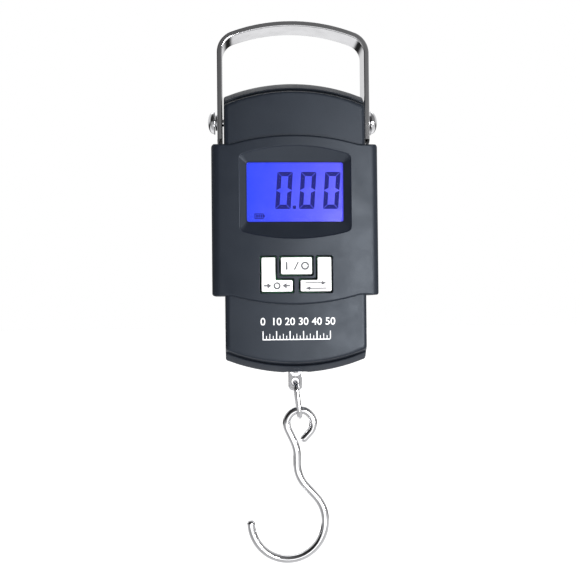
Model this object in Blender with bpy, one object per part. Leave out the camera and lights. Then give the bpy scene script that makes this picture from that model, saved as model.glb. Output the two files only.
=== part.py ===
"""Digital fish scale: a hanging load-cell scale with a bail handle above and a wire hook below.

Lengths below are in millimetres and are turned into metres when a mesh is stored.
+Z is up, the display faces -Y and +X is to the right. The origin is the middle of the
grip: the underside of the bail handle's bridge, where a finger or a hook holds the scale.
"""

import math

import bmesh
import bpy
from mathutils import Vector

MM = 0.001

# Bail handle: a flat strip bent into an arch.
STRIP_WIDTH = 12.0
STRIP_THICKNESS = 2.0
BRIDGE_RADIUS = 66.0
HANDLE_CORNER_RADIUS = 7.5
HANDLE_HALF_SPAN = 28.1
PIVOT_Z = -36.0
LEG_END_RADIUS = 9.4
PIVOT_HOLE_RADIUS = 1.8
PIVOT_SHANK_RADIUS = 1.5

# Casing: a narrow body with a deeper, wider band round its middle, parted at y = 0.
BODY_HALF_WIDTH = 26.6
BODY_TOP = (-22.1, -27.2)
BODY_BOTTOM = (-132.2, -127.1)
BODY_CORNER = 1.0
BODY_FACE_Y = 11.6
BAND_HALF_WIDTH = 31.4
BAND_TOP = (-42.9, -46.1)
BAND_BOTTOM = (-106.3, -102.9)
BAND_ARC_HALF = 23.9
BAND_CORNER = 1.0
BAND_SIDE_ROUNDING = 3.0
BAND_END_ROUNDING = 0.8
BAND_FACE_Y = 13.0
WALL = 2.0
PARTING_GAP = 0.15
CAVITY_FACE_Y = 9.6

# How far each face falls back from its middle to its sides: front (-1) and back (+1).
BAND_CROWN = {-1: 2.0, 1: 1.2}
BODY_CROWN = {-1: 0.8, 1: 0.0}

# Each station is (inset at the ends, y at the ends, inset at the sides, y at the sides).
BODY_STATIONS = (
    (0.0, PARTING_GAP, 0.0, PARTING_GAP),
    (0.0, 5.6, 0.0, 5.6),
    (2.6, 9.2, 0.0, 8.0),
    (3.1, 8.2, 0.0, 8.8),
    (4.2, 11.2, 0.0, 10.0),
    (4.45, 11.5, 0.47, 11.13),
    (4.9, BODY_FACE_Y, 1.6, BODY_FACE_Y),
)
CAVITY_STATIONS = (
    (WALL, -1.0, WALL, -1.0),
    (WALL, 4.8, WALL, 4.8),
    (6.9, CAVITY_FACE_Y, WALL, CAVITY_FACE_Y),
)

# Display.
WINDOW_HALF_WIDTH = 18.2
WINDOW_Z = (-52.8, -75.2)
WINDOW_CORNER = 0.8
RECESS_HALF_WIDTH = 20.7
RECESS_TOP = (-47.1, -50.4)
RECESS_BOTTOM = (-81.5, -78.5)
RECESS_FLOOR_Y = -10.3
RIM_CLEARANCE = 0.02
GLASS_HALF_WIDTH = 21.0
GLASS_Z = (-51.0, -77.0)

# Buttons: outlines of their openings, seen from the front.
POWER_OPENING = ((-6.35, -88.1), (6.35, -88.1), (6.35, -95.6), (-6.35, -95.6))
TARE_OPENING = (
    (-13.6, -88.1),
    (-7.3, -88.1),
    (-7.3, -96.6),
    (-0.9, -96.6),
    (-0.9, -102.0),
    (-13.6, -102.0),
)
BUTTON_GAP = 0.75
BUTTON_LIP = 0.8
BUTTON_FRONT_Y = -13.3
BUTTON_LIP_Y = (-10.7, -9.9)
BUTTON_WELL = (15.3, -86.3, -103.7, -11.0)
SWITCHES = {"power": (0.0, -91.8), "tare": (-10.4, -98.9), "unit": (10.4, -98.9)}

# Fasteners that hold the casing and the board.
CASE_SCREWS = {
    "upper_left": (-26.4, -54.0),
    "upper_right": (26.4, -54.0),
    "lower_left": (-19.0, -117.0),
    "lower_right": (19.0, -117.0),
}
BOARD_SCREWS = {
    "upper_left": (-19.5, -83.0),
    "upper_right": (19.5, -83.0),
    "lower_left": (-19.5, -101.0),
    "lower_right": (19.5, -101.0),
}
FRONT_BOSS_RADIUS = 2.7
REAR_BOSS_RADIUS = 3.7
BOARD_BOSS_RADIUS = 2.0
SCREW_SEAT_Y = 5.0

# Battery bay, opened by a lid in the back of the band.
CELL_RADIUS = 5.25
CELL_LENGTH = 44.5
CELL_X = 14.5
CELL_Y = 5.75
BAY_Z = (-49.9, -101.1)
BAY_HALF_WIDTH = 21.9
LEDGE = 1.0
LEDGE_Y = 11.0
LID_GAP = 0.3
LID_INNER_Y = 11.3
LID_PIVOT = (0.0, 12.7, -100.6)

# Load path.
LOAD_CELL_HALF = (7.0, 3.0)
LOAD_CELL_Z = (-32.3, -111.0)
BRACKET_TOP_Z = (-30.0, -32.0)
PIN_Z = -131.5
TAB_HALF_WIDTH = 2.6
TAB_HALF_THICKNESS = 1.1
TAB_HOLE_Z = -136.0
TAB_END_Z = -139.4
LINK_WIRE_RADIUS = 0.9
LINK_BEND_RADIUS = 3.2
LINK_LENGTH = 13.4
LINK_TILT = math.radians(7.0)
LINK_TOP_Z = -136.3
HOOK_WIRE_RADIUS = 1.5
EYE_RADIUS = 5.15
EYE_BELOW_LINK = 2.55

LINK_BOTTOM = (
    LINK_LENGTH * math.sin(LINK_TILT),
    LINK_TOP_Z - LINK_LENGTH * math.cos(LINK_TILT),
)
EYE_CENTRE = (LINK_BOTTOM[0], LINK_BOTTOM[1] - EYE_BELOW_LINK)

# Where each moving body turns or slides from.
PIVOTS = {
    "handle": (0.0, 0.0, 0.0),
    "housing": (0.0, 0.0, PIVOT_Z),
    "power_key": (SWITCHES["power"][0], BUTTON_FRONT_Y, SWITCHES["power"][1]),
    "tare_key": (SWITCHES["tare"][0], BUTTON_FRONT_Y, SWITCHES["tare"][1]),
    "unit_key": (SWITCHES["unit"][0], BUTTON_FRONT_Y, SWITCHES["unit"][1]),
    "battery_lid": LID_PIVOT,
    "fitting": (0.0, 0.0, PIN_Z),
    "link": (0.0, 0.0, LINK_TOP_Z),
    "hook": (EYE_CENTRE[0], 0.0, EYE_CENTRE[1] + EYE_RADIUS),
}

# Base colour, roughness and metallic value of each material.
MATERIALS = {
    "slate_plastic": ((0.035, 0.039, 0.048), 0.42, 0.0),
    "white_plastic": ((0.85, 0.85, 0.86), 0.35, 0.0),
    "clear_plastic": ((0.80, 0.84, 0.90), 0.05, 0.0),
    "blue_glass": ((0.06, 0.09, 0.85), 0.20, 0.0),
    "diffuser_plastic": ((0.75, 0.80, 0.95), 0.50, 0.0),
    "black_plastic": ((0.02, 0.02, 0.02), 0.50, 0.0),
    "rubber": ((0.10, 0.05, 0.07), 0.80, 0.0),
    "circuit_green": ((0.02, 0.18, 0.07), 0.45, 0.0),
    "chrome": ((0.80, 0.80, 0.82), 0.08, 1.0),
    "steel": ((0.55, 0.55, 0.57), 0.30, 1.0),
    "aluminium": ((0.70, 0.71, 0.73), 0.35, 1.0),
    "brass": ((0.75, 0.55, 0.25), 0.30, 1.0),
    "polyimide": ((0.50, 0.25, 0.05), 0.40, 0.0),
    "cell_wrap": ((0.12, 0.13, 0.15), 0.35, 0.2),
    "red_insulation": ((0.60, 0.03, 0.02), 0.45, 0.0),
    "black_insulation": ((0.03, 0.03, 0.03), 0.45, 0.0),
}


def clear_scene():
    for obj in list(bpy.data.objects):
        bpy.data.objects.remove(obj, do_unlink=True)


def material(name):
    found = bpy.data.materials.get(name)
    if found:
        return found
    colour, roughness, metallic = MATERIALS[name]
    made = bpy.data.materials.new(name)
    made.use_nodes = True
    shader = made.node_tree.nodes["Principled BSDF"]
    shader.inputs["Base Color"].default_value = (*colour, 1.0)
    shader.inputs["Roughness"].default_value = roughness
    shader.inputs["Metallic"].default_value = metallic
    return made


def pivot_empty(body):
    """The empty that a body's pieces hang from, on the body's joint axis."""
    name = f"{body}_pivot"
    found = bpy.data.objects.get(name)
    if found:
        return found
    empty = bpy.data.objects.new(name, None)
    empty.location = Vector(PIVOTS[body]) * MM
    bpy.context.collection.objects.link(empty)
    return empty


def add_piece(name, bm, finish, body):
    """Store a bmesh, made in the part's own frame in mm, as a piece of a body."""
    bmesh.ops.translate(bm, vec=-Vector(PIVOTS[body]), verts=bm.verts)
    bmesh.ops.scale(bm, vec=(MM, MM, MM), verts=bm.verts)
    bmesh.ops.recalc_face_normals(bm, faces=bm.faces)
    mesh = bpy.data.meshes.new(name)
    bm.to_mesh(mesh)
    bm.free()
    mesh.shade_smooth()
    mesh.set_sharp_from_angle(angle=math.radians(32.0))
    obj = bpy.data.objects.new(name, mesh)
    bpy.context.collection.objects.link(obj)
    obj.parent = pivot_empty(body)
    if finish:
        mesh.materials.append(material(finish))
    return obj


def add_tool(name, bm, body="housing"):
    """A shape that is only added to or cut from other pieces."""
    tool = add_piece(name, bm, None, body)
    tool.hide_render = True
    tool.display_type = "WIRE"
    return tool


def combine(piece, tool, operation):
    modifier = piece.modifiers.new(f"{operation.title()} {tool.name}", "BOOLEAN")
    modifier.operation = operation
    modifier.solver = "EXACT"
    modifier.object = tool


def loft(rings, ruled=False):
    """A closed skin through rings of equal length.

    A ruled cap joins the first half of a ring straight across to its second half, so
    that a crowned face stays crowned. Any other cap is one flat polygon.
    """
    bm = bmesh.new()
    loops = [[bm.verts.new(point) for point in ring] for ring in rings]
    count = len(loops[0])
    for low, high in zip(loops, loops[1:]):
        for i in range(count):
            j = (i + 1) % count
            bm.faces.new((low[i], low[j], high[j], high[i]))
    for cap in (loops[0], loops[-1]):
        if ruled:
            for i in range(count // 2 - 1):
                bm.faces.new((cap[i], cap[i + 1], cap[-2 - i], cap[-1 - i]))
        else:
            bm.faces.new(cap)
    return bm


def merged(parts):
    """One bmesh that holds several separate closed shapes."""
    whole = bmesh.new()
    for part in parts:
        copied = {v: whole.verts.new(v.co) for v in part.verts}
        for face in part.faces:
            whole.faces.new([copied[v] for v in face.verts])
        part.free()
    return whole


def prism(outline, low_y, high_y):
    return loft([[(x, y, z) for x, z in outline] for y in (low_y, high_y)])


def block(x_range, y_range, z_range):
    (x0, x1), (z0, z1) = x_range, z_range
    return prism(((x0, z0), (x1, z0), (x1, z1), (x0, z1)), *y_range)


def turned(profile, centre, axis, sides=20):
    """A solid of revolution from (radius, height) pairs, its heights along an axis."""
    rings = []
    for radius, height in profile:
        ring = []
        for i in range(sides):
            angle = 2.0 * math.pi * i / sides
            u, v = radius * math.cos(angle), radius * math.sin(angle)
            offset = {"X": (height, u, v), "Y": (u, height, v), "Z": (u, v, height)}[axis]
            ring.append(Vector(centre) + Vector(offset))
        rings.append(ring)
    return loft(rings)


def rod(radius, centre, axis, low, high, sides=20):
    return turned(((radius, low), (radius, high)), centre, axis, sides)


def arc(centre, radius, start, end, steps):
    """Points on an arc, its angles in degrees."""
    points = []
    for i in range(steps + 1):
        angle = math.radians(start + (end - start) * i / steps)
        points.append((centre[0] + radius * math.cos(angle), centre[1] + radius * math.sin(angle)))
    return points


def fillet(before, corner, after, radius, steps):
    """Points of the arc that rounds a corner between two straight runs."""
    corner = Vector(corner)
    back = (Vector(before) - corner).normalized()
    ahead = (Vector(after) - corner).normalized()
    half = back.angle(ahead) / 2.0
    centre = corner + (back + ahead).normalized() * (radius / math.sin(half))
    start = corner + back * (radius / math.tan(half)) - centre
    end = corner + ahead * (radius / math.tan(half)) - centre
    first = math.atan2(start.y, start.x)
    turn = (math.atan2(end.y, end.x) - first + math.pi) % (2.0 * math.pi) - math.pi
    return arc(centre, radius, math.degrees(first), math.degrees(first + turn), steps)


def rounded_outline(corners, radius, steps=3):
    """A closed outline with all its corners rounded alike."""
    points = []
    count = len(corners)
    for i, corner in enumerate(corners):
        points += fillet(corners[i - 1], corner, corners[(i + 1) % count], radius, steps)
    return points


def edge_chain(up, half_width, middle, side, arc_half, corner, blend, steps=12):
    """The top (up = 1) or bottom (up = -1) edge of an outline, left to right, corners rounded.

    Its middle stretch is an arc through (0, middle). Outside arc_half it runs level.
    """
    rise = middle - side
    if abs(rise) < 1e-6:
        curve = [(arc_half * (2.0 * i / steps - 1.0), side) for i in range(steps + 1)]
    else:
        radius = (arc_half**2 + rise**2) / (2.0 * rise)
        spread = math.degrees(math.asin(arc_half / abs(radius)))
        upright = math.copysign(90.0, rise)
        turn = math.copysign(spread, rise)
        curve = arc((0.0, middle - radius), abs(radius), upright + turn, upright - turn, steps)
    outward = up * 4.0 * corner
    path = [(-half_width, side - outward)]
    radii = [0.0]
    if arc_half < half_width:
        path += [(-half_width, side)] + curve + [(half_width, side)]
        radii += [corner, blend] + [0.0] * (steps - 1) + [blend, corner]
    else:
        path += curve
        radii += [corner] + [0.0] * (steps - 1) + [corner]
    path.append((half_width, side - outward))
    chain = []
    for i in range(1, len(path) - 1):
        if radii[i]:
            chain += fillet(path[i - 1], path[i], path[i + 1], radii[i], 3)
        else:
            chain.append(path[i])
    return chain


def closed_outline(upper, lower):
    return upper + lower[::-1]


def shell_rings(half_width, top, bottom, arc_half, corner, blend, stations, face, crown):
    """Rings of half a casing: each station insets the outline and sets its depth.

    The depth of a point changes from the side value to the end value round the corners,
    and follows the crown of the face across the width.
    """
    rings = []
    for end_inset, end_y, side_inset, side_y in stations:
        width = half_width - side_inset
        reach = arc_half if arc_half < half_width else width
        upper = edge_chain(1, width, top[0] - end_inset, top[1] - end_inset, reach, corner, blend)
        lower = edge_chain(-1, width, bottom[0] + end_inset, bottom[1] + end_inset, reach, corner, blend)
        ring = []
        for x, z in closed_outline(upper, lower):
            share = min(1.0, (width - abs(x)) / corner)
            depth = side_y + (end_y - side_y) * share
            drop = crown * (x / half_width) ** 2 * max(0.0, depth) / face
            ring.append((x, depth - drop, z))
        rings.append(ring)
    return rings


def rounding_stations(face, end_radius, side_radius, start, steps=4):
    """Stations of a slab whose front edges are rounded over."""
    stations = [(0.0, start, 0.0, start)]
    for i in range(steps + 1):
        angle = math.radians(90.0 * i / steps)
        inward, back = 1.0 - math.cos(angle), 1.0 - math.sin(angle)
        stations.append(
            (end_radius * inward, face - end_radius * back, side_radius * inward, face - side_radius * back)
        )
    return stations


def faced(rings, side):
    """The same rings on the front (-1) or on the back (+1) of the parting plane."""
    return [[(x, side * y, z) for x, y, z in ring] for ring in rings]


def body_half(side, stations):
    rings = shell_rings(
        BODY_HALF_WIDTH, BODY_TOP, BODY_BOTTOM, BODY_HALF_WIDTH, BODY_CORNER, 0.0,
        stations, BODY_FACE_Y, BODY_CROWN[side],
    )
    return loft(faced(rings, side), ruled=True)


def band_half(side):
    stations = rounding_stations(BAND_FACE_Y, BAND_END_ROUNDING, BAND_SIDE_ROUNDING, PARTING_GAP)
    rings = shell_rings(
        BAND_HALF_WIDTH, BAND_TOP, BAND_BOTTOM, BAND_ARC_HALF, BAND_CORNER, 7.0,
        stations, BAND_FACE_Y, BAND_CROWN[side],
    )
    return loft(faced(rings, side), ruled=True)


def band_cavity(side):
    half = BAND_HALF_WIDTH - WALL
    z_range = (BAND_BOTTOM[1] + WALL, BAND_TOP[1] - WALL)
    outline = ((-half, z_range[0]), (half, z_range[0]), (half, z_range[1]), (-half, z_range[1]))
    low, high = sorted((-side * 1.0, side * (CAVITY_FACE_Y - 0.2)))
    return prism(rounded_outline(outline, 1.5), low, high)


def bottom_passage():
    """The slot in the bottom edge that the hook's fitting hangs through, with its flare."""
    levels = ((-134.0, 5.9, 9.5), (-132.5, 5.4, 7.5), (-131.1, 3.2, 4.4), (-128.0, 3.2, 4.4))
    rings = []
    for z, half_x, half_y in levels:
        rings.append([(-half_x, -half_y, z), (half_x, -half_y, z), (half_x, half_y, z), (-half_x, half_y, z)])
    return loft(rings)


def casing_half(name, side):
    """What both covers share: the outer shape, the cavity and the holes on the parting plane."""
    cover = add_piece(name, body_half(side, BODY_STATIONS), "slate_plastic", "housing")
    combine(cover, add_tool(f"{name}_band", band_half(side)), "UNION")
    combine(cover, add_tool(f"{name}_cavity", body_half(side, CAVITY_STATIONS)), "DIFFERENCE")
    combine(cover, add_tool(f"{name}_band_cavity", band_cavity(side)), "DIFFERENCE")
    return cover


def screw_rods(places, radius, low, high, sides=16):
    return [rod(radius, (x, 0.0, z), "Y", low, high, sides) for x, z in places.values()]


def band_face(side, x):
    """The y of the band's crowned face at a distance from the middle."""
    return side * (BAND_FACE_Y - BAND_CROWN[side] * (x / BAND_HALF_WIDTH) ** 2)


def recess_cutter():
    """The sunk surround of the display, sloping from its arched rim down to the window.

    The rim, marked by a level of None, follows the band's crowned face, RIM_CLEARANCE proud of it.
    """
    levels = (
        (-16.0, RECESS_HALF_WIDTH, RECESS_TOP, RECESS_BOTTOM, 2.0),
        (None, RECESS_HALF_WIDTH, RECESS_TOP, RECESS_BOTTOM, 2.0),
        (RECESS_FLOOR_Y, WINDOW_HALF_WIDTH, (WINDOW_Z[0],) * 2, (WINDOW_Z[1],) * 2, WINDOW_CORNER),
        (-8.0, WINDOW_HALF_WIDTH, (WINDOW_Z[0],) * 2, (WINDOW_Z[1],) * 2, WINDOW_CORNER),
    )
    rings = []
    for y, half_width, top, bottom, corner in levels:
        upper = edge_chain(1, half_width, *top, half_width, corner, 0.0)
        lower = edge_chain(-1, half_width, *bottom, half_width, corner, 0.0)
        outline = closed_outline(upper, lower)
        rings.append([(x, band_face(-1, x) - RIM_CLEARANCE if y is None else y, z) for x, z in outline])
    return loft(rings, ruled=True)


def mirrored(outline):
    return tuple((-x, z) for x, z in reversed(outline))


def make_front_cover():
    cover = casing_half("front_cover", -1)
    bosses = screw_rods(CASE_SCREWS, FRONT_BOSS_RADIUS, -10.4, -PARTING_GAP)
    bosses += screw_rods(BOARD_SCREWS, BOARD_BOSS_RADIUS, -10.4, -5.2, 12)
    combine(cover, add_tool("front_bosses", merged(bosses)), "UNION")
    combine(cover, add_tool("display_recess", recess_cutter()), "DIFFERENCE")
    half, top, bottom, y = BUTTON_WELL
    well = block((-half, half), (y, -9.0), (bottom, top))
    combine(cover, add_tool("button_well", well), "DIFFERENCE")
    openings = (POWER_OPENING, TARE_OPENING, mirrored(TARE_OPENING))
    holes = [prism(rounded_outline(opening, 0.6), -16.0, -10.0) for opening in openings]
    combine(cover, add_tool("button_openings", merged(holes)), "DIFFERENCE")
    pilots = screw_rods(CASE_SCREWS, 1.5, -9.4, 1.0, 12)
    pilots += screw_rods(BOARD_SCREWS, 1.0, -9.4, -4.0, 12)
    pilots.append(rod(2.1, (0.0, 0.0, PIVOT_Z), "X", -29.0, 29.0))
    combine(cover, add_tool("front_holes", merged(pilots)), "DIFFERENCE")
    combine(cover, add_tool("front_passage", bottom_passage()), "DIFFERENCE")


def make_rear_cover():
    cover = casing_half("rear_cover", 1)
    bosses = screw_rods(CASE_SCREWS, REAR_BOSS_RADIUS, PARTING_GAP, 10.4, 20)
    combine(cover, add_tool("rear_bosses", merged(bosses)), "UNION")
    inner = BAY_HALF_WIDTH - LEDGE
    bay = block((-inner, inner), (8.0, 14.0), (BAY_Z[1] + LEDGE, BAY_Z[0] - LEDGE))
    combine(cover, add_tool("battery_opening", bay), "DIFFERENCE")
    corners = (
        (-BAY_HALF_WIDTH, BAY_Z[1]), (BAY_HALF_WIDTH, BAY_Z[1]),
        (BAY_HALF_WIDTH, BAY_Z[0]), (-BAY_HALF_WIDTH, BAY_Z[0]),
    )
    seat = prism(rounded_outline(corners, 1.3), LEDGE_Y, 15.0)
    combine(cover, add_tool("lid_seat", seat), "DIFFERENCE")
    holes = []
    for x, z in CASE_SCREWS.values():
        profile = ((1.5, -1.0), (1.5, SCREW_SEAT_Y), (2.8, SCREW_SEAT_Y), (2.8, 15.0))
        holes.append(turned(profile, (x, 0.0, z), "Y", 16))
    holes.append(rod(2.1, (0.0, 0.0, PIVOT_Z), "X", -29.0, 29.0))
    combine(cover, add_tool("rear_holes", merged(holes)), "DIFFERENCE")
    combine(cover, add_tool("rear_passage", bottom_passage()), "DIFFERENCE")


def make_battery_lid():
    """The lid fills its seat with a gap all round and carries on the crown of the band."""
    half = BAY_HALF_WIDTH - LID_GAP
    top, bottom = BAY_Z[0] - LID_GAP, BAY_Z[1] + LID_GAP
    rings = []
    for inset, level in ((0.0, None), (0.0, 0.35), (0.3, 0.0)):
        upper = edge_chain(1, half - inset, top - inset, top - inset, half - inset, 1.0, 0.0)
        lower = edge_chain(-1, half - inset, bottom + inset, bottom + inset, half - inset, 1.0, 0.0)
        ring = []
        for x, z in closed_outline(upper, lower):
            ring.append((x, LID_INNER_Y if level is None else band_face(1, x) - level, z))
        rings.append(ring)
    lid = add_piece("battery_door", loft(rings, ruled=True), "slate_plastic", "battery_lid")
    grips = [rod(0.5, (0.0, 13.1, -53.0 - 1.8 * i), "X", -6.0, 6.0, 10) for i in range(4)]
    combine(lid, add_tool("lid_grip_grooves", merged(grips), "battery_lid"), "DIFFERENCE")


def strip_section():
    """Points (across, along y) round the handle's strip, its long edges eased."""
    half, edge = STRIP_THICKNESS / 2.0, STRIP_WIDTH / 2.0
    across = (-edge + 0.4, -3.4, 0.0, 3.4, edge - 0.4)
    inner = [(-half, y) for y in across]
    outer = [(half, y) for y in reversed(across)]
    return inner + [(-half + 0.4, edge), (half - 0.4, edge)] + outer + [(half - 0.4, -edge), (-half + 0.4, -edge)]


def make_handle():
    middle_radius = BRIDGE_RADIUS + STRIP_THICKNESS / 2.0
    hub_z = STRIP_THICKNESS / 2.0 - middle_radius
    reach = middle_radius - HANDLE_CORNER_RADIUS
    corner_x = HANDLE_HALF_SPAN - HANDLE_CORNER_RADIUS
    corner_z = hub_z + math.sqrt(reach**2 - corner_x**2)
    lean = math.degrees(math.asin(corner_x / reach))
    path = [(HANDLE_HALF_SPAN, PIVOT_Z - 5.0), (HANDLE_HALF_SPAN, PIVOT_Z + 6.0)]
    path += arc((corner_x, corner_z), HANDLE_CORNER_RADIUS, 0.0, 90.0 - lean, 5)
    path += arc((0.0, hub_z), middle_radius, 90.0 - lean, 90.0 + lean, 12)[1:-1]
    path += arc((-corner_x, corner_z), HANDLE_CORNER_RADIUS, 90.0 + lean, 180.0, 5)
    path += [(-HANDLE_HALF_SPAN, PIVOT_Z + 6.0), (-HANDLE_HALF_SPAN, PIVOT_Z - 5.0)]
    rings = []
    last = len(path) - 1
    for i, point in enumerate(path):
        before, after = Vector(path[max(i - 1, 0)]), Vector(path[min(i + 1, last)])
        along = (after - before).normalized()
        outward = Vector((along.y, -along.x))
        ring = []
        for across, y in strip_section():
            place = Vector(point) + outward * across
            if i in (0, last):
                place.y = PIVOT_Z - math.sqrt(LEG_END_RADIUS**2 - y**2)
            ring.append((place.x, y, place.y))
        rings.append(ring)
    handle = add_piece("bail_handle", loft(rings), "chrome", "handle")
    holes = []
    for side in (-1, 1):
        low, high = sorted((side * 26.0, side * 30.5))
        holes.append(rod(PIVOT_HOLE_RADIUS, (0.0, 0.0, PIVOT_Z), "X", low, high))
    combine(handle, add_tool("handle_holes", merged(holes), "handle"), "DIFFERENCE")


def make_pivots():
    """Dome-headed screws that the handle turns on, their washers and their nuts."""
    head = ((PIVOT_SHANK_RADIUS, 18.6), (PIVOT_SHANK_RADIUS, 30.0), (4.3, 30.0), (4.55, 30.3),
            (4.3, 31.3), (3.5, 32.1), (2.1, 32.6), (0.7, 32.75))
    washer = ((3.05, 29.25), (3.05, 29.85))
    for side, name in ((-1, "left"), (1, "right")):
        centre = (0.0, 0.0, PIVOT_Z)
        screw = [(radius, side * height) for radius, height in head]
        add_piece(f"pivot_screw_{name}", turned(screw, centre, "X", 24), "chrome", "housing")
        ring = [(radius, side * height) for radius, height in washer]
        piece = add_piece(f"pivot_washer_{name}", turned(ring, centre, "X"), "steel", "housing")
        low, high = sorted((side * 18.0, side * 31.0))
        bore = add_tool(f"pivot_bore_{name}", rod(PIVOT_HOLE_RADIUS, centre, "X", low, high, 16))
        combine(piece, bore, "DIFFERENCE")
        nut = rod(3.1, centre, "X", *sorted((side * 19.4, side * 21.7)), 6)
        piece = add_piece(f"pivot_nut_{name}", nut, "steel", "housing")
        combine(piece, bore, "DIFFERENCE")


def make_bracket():
    """A bent steel stirrup that carries the pivots and holds the load cell's top end."""
    low, high = BRACKET_TOP_Z[1], BRACKET_TOP_Z[0]
    outline = ((-24.0, -42.0), (-24.0, high), (24.0, high), (24.0, -42.0),
               (22.0, -42.0), (22.0, low), (-22.0, low), (-22.0, -42.0))
    bracket = add_piece("load_bracket", prism(outline, -5.0, 5.0), "steel", "housing")
    holes = [rod(PIVOT_HOLE_RADIUS, (0.0, 0.0, PIVOT_Z), "X", *span, 16) for span in ((-25, -21), (21, 25))]
    holes.append(rod(1.8, (0.0, 0.0, 0.0), "Z", low - 1.0, high + 1.0, 16))
    combine(bracket, add_tool("bracket_holes", merged(holes)), "DIFFERENCE")


def make_load_cell():
    """An S-shaped aluminium beam, pulled at both ends, with its strain gauges."""
    (half_x, half_y), (top, bottom) = LOAD_CELL_HALF, LOAD_CELL_Z
    beam = block((-half_x, half_x), (-half_y, half_y), (bottom, top))
    cell = add_piece("load_cell", beam, "aluminium", "housing")
    centre = (top + bottom) / 2.0
    slots = [
        block((-4.0, 9.0), (-5.0, 5.0), (centre + 22.5, centre + 24.5)),
        block((-9.0, 4.0), (-5.0, 5.0), (centre - 24.5, centre - 22.5)),
    ]
    window = ((-4.2, centre - 11.5), (4.2, centre - 11.5), (4.2, centre - 4.5), (1.2, centre - 2.5),
              (1.2, centre + 2.5), (4.2, centre + 4.5), (4.2, centre + 11.5), (-4.2, centre + 11.5),
              (-4.2, centre + 4.5), (-1.2, centre + 2.5), (-1.2, centre - 2.5), (-4.2, centre - 4.5))
    slots.append(prism(rounded_outline(window, 0.9), -5.0, 5.0))
    slots.append(rod(1.8, (0.0, 0.0, 0.0), "Z", top - 9.0, top + 1.0, 16))
    slots.append(rod(1.8, (0.0, 0.0, 0.0), "Z", bottom - 1.0, bottom + 9.0, 16))
    combine(cell, add_tool("load_cell_cuts", merged(slots)), "DIFFERENCE")
    for side, name in ((-1, "left"), (1, "right")):
        x_range = sorted((side * (half_x + 0.15), side * (half_x + 0.45)))
        gauge = block(x_range, (-2.0, 2.0), (centre + 4.5, centre + 11.5))
        add_piece(f"strain_gauge_{name}", gauge, "polyimide", "housing")
    screw = ((1.5, -40.0), (1.5, -29.7), (2.6, -29.7), (2.6, -28.6), (2.0, -27.9))
    add_piece("load_cell_screw", turned(screw, (0, 0, 0), "Z"), "steel", "housing")


def make_fitting():
    """The fork under the load cell, its pin, and the tab that hangs from the pin."""
    fork = add_piece("lower_clevis", block((-3.0, 3.0), (-3.0, 3.0), (-126.5, -111.4)), "steel", "housing")
    shank = rod(1.5, (0.0, 0.0, 0.0), "Z", -112.0, -103.0, 16)
    cheek = [(2.2, -125.5)] + arc((0.0, PIN_Z), 2.2, 0.0, -180.0, 8) + [(-2.2, -125.5)]
    cheeks = [prism(cheek, 1.4, 2.6), prism(cheek, -2.6, -1.4)]
    combine(fork, add_tool("clevis_limbs", merged([shank] + cheeks)), "UNION")
    bore = add_tool("clevis_bore", rod(0.95, (0.0, 0.0, PIN_Z), "Y", -4.0, 4.0, 12))
    combine(fork, bore, "DIFFERENCE")
    pin = ((0.5, -3.4), (1.15, -3.1), (1.3, -2.75), (0.8, -2.75), (0.8, 2.75), (1.3, 2.75), (1.15, 3.1), (0.5, 3.4))
    add_piece("clevis_pin", turned(pin, (0.0, 0.0, PIN_Z), "Y", 14), "chrome", "housing")
    outline = arc((0.0, PIN_Z), TAB_HALF_WIDTH, 0.0, 180.0, 8)
    low = TAB_END_Z + 1.6
    outline += arc((-TAB_HALF_WIDTH + 1.6, low), 1.6, 180.0, 270.0, 4)
    outline += arc((TAB_HALF_WIDTH - 1.6, low), 1.6, 270.0, 360.0, 4)
    tab = add_piece(
        "hook_fitting", prism(outline, -TAB_HALF_THICKNESS, TAB_HALF_THICKNESS), "chrome", "fitting"
    )
    holes = [
        rod(1.1, (0.0, 0.0, PIN_Z), "Y", -3.0, 3.0, 16),
        rod(1.5, (0.0, 0.0, TAB_HOLE_Z), "Y", -3.0, 3.0, 20),
    ]
    combine(tab, add_tool("fitting_holes", merged(holes), "fitting"), "DIFFERENCE")


def add_wire(name, points, radius, finish, body, cyclic=False, resolution=3):
    """A round wire along a list of points given in the part's own frame."""
    curve = bpy.data.curves.new(name, "CURVE")
    curve.dimensions = "3D"
    curve.bevel_depth = radius * MM
    curve.bevel_resolution = resolution
    curve.use_fill_caps = not cyclic
    spline = curve.splines.new("POLY")
    spline.points.add(len(points) - 1)
    for slot, point in zip(spline.points, points):
        slot.co = (*((Vector(point) - Vector(PIVOTS[body])) * MM), 1.0)
    spline.use_cyclic_u = cyclic
    curve.materials.append(material(finish))
    obj = bpy.data.objects.new(name, curve)
    bpy.context.collection.objects.link(obj)
    obj.parent = pivot_empty(body)


def make_link():
    """An oval ring that hangs in the tab's hole, in the plane of Y and its own tilted length."""
    reach = LINK_LENGTH - 2.0 * LINK_BEND_RADIUS
    flat = arc((0.0, -LINK_BEND_RADIUS), LINK_BEND_RADIUS, 0.0, 180.0, 12)
    flat += arc((0.0, -LINK_BEND_RADIUS - reach), LINK_BEND_RADIUS, 180.0, 360.0, 12)
    points = []
    for y, along in flat:
        points.append((-along * math.sin(LINK_TILT), y, LINK_TOP_Z + along * math.cos(LINK_TILT)))
    add_wire("hook_link", points, LINK_WIRE_RADIUS, "chrome", "link", cyclic=True)


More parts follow.
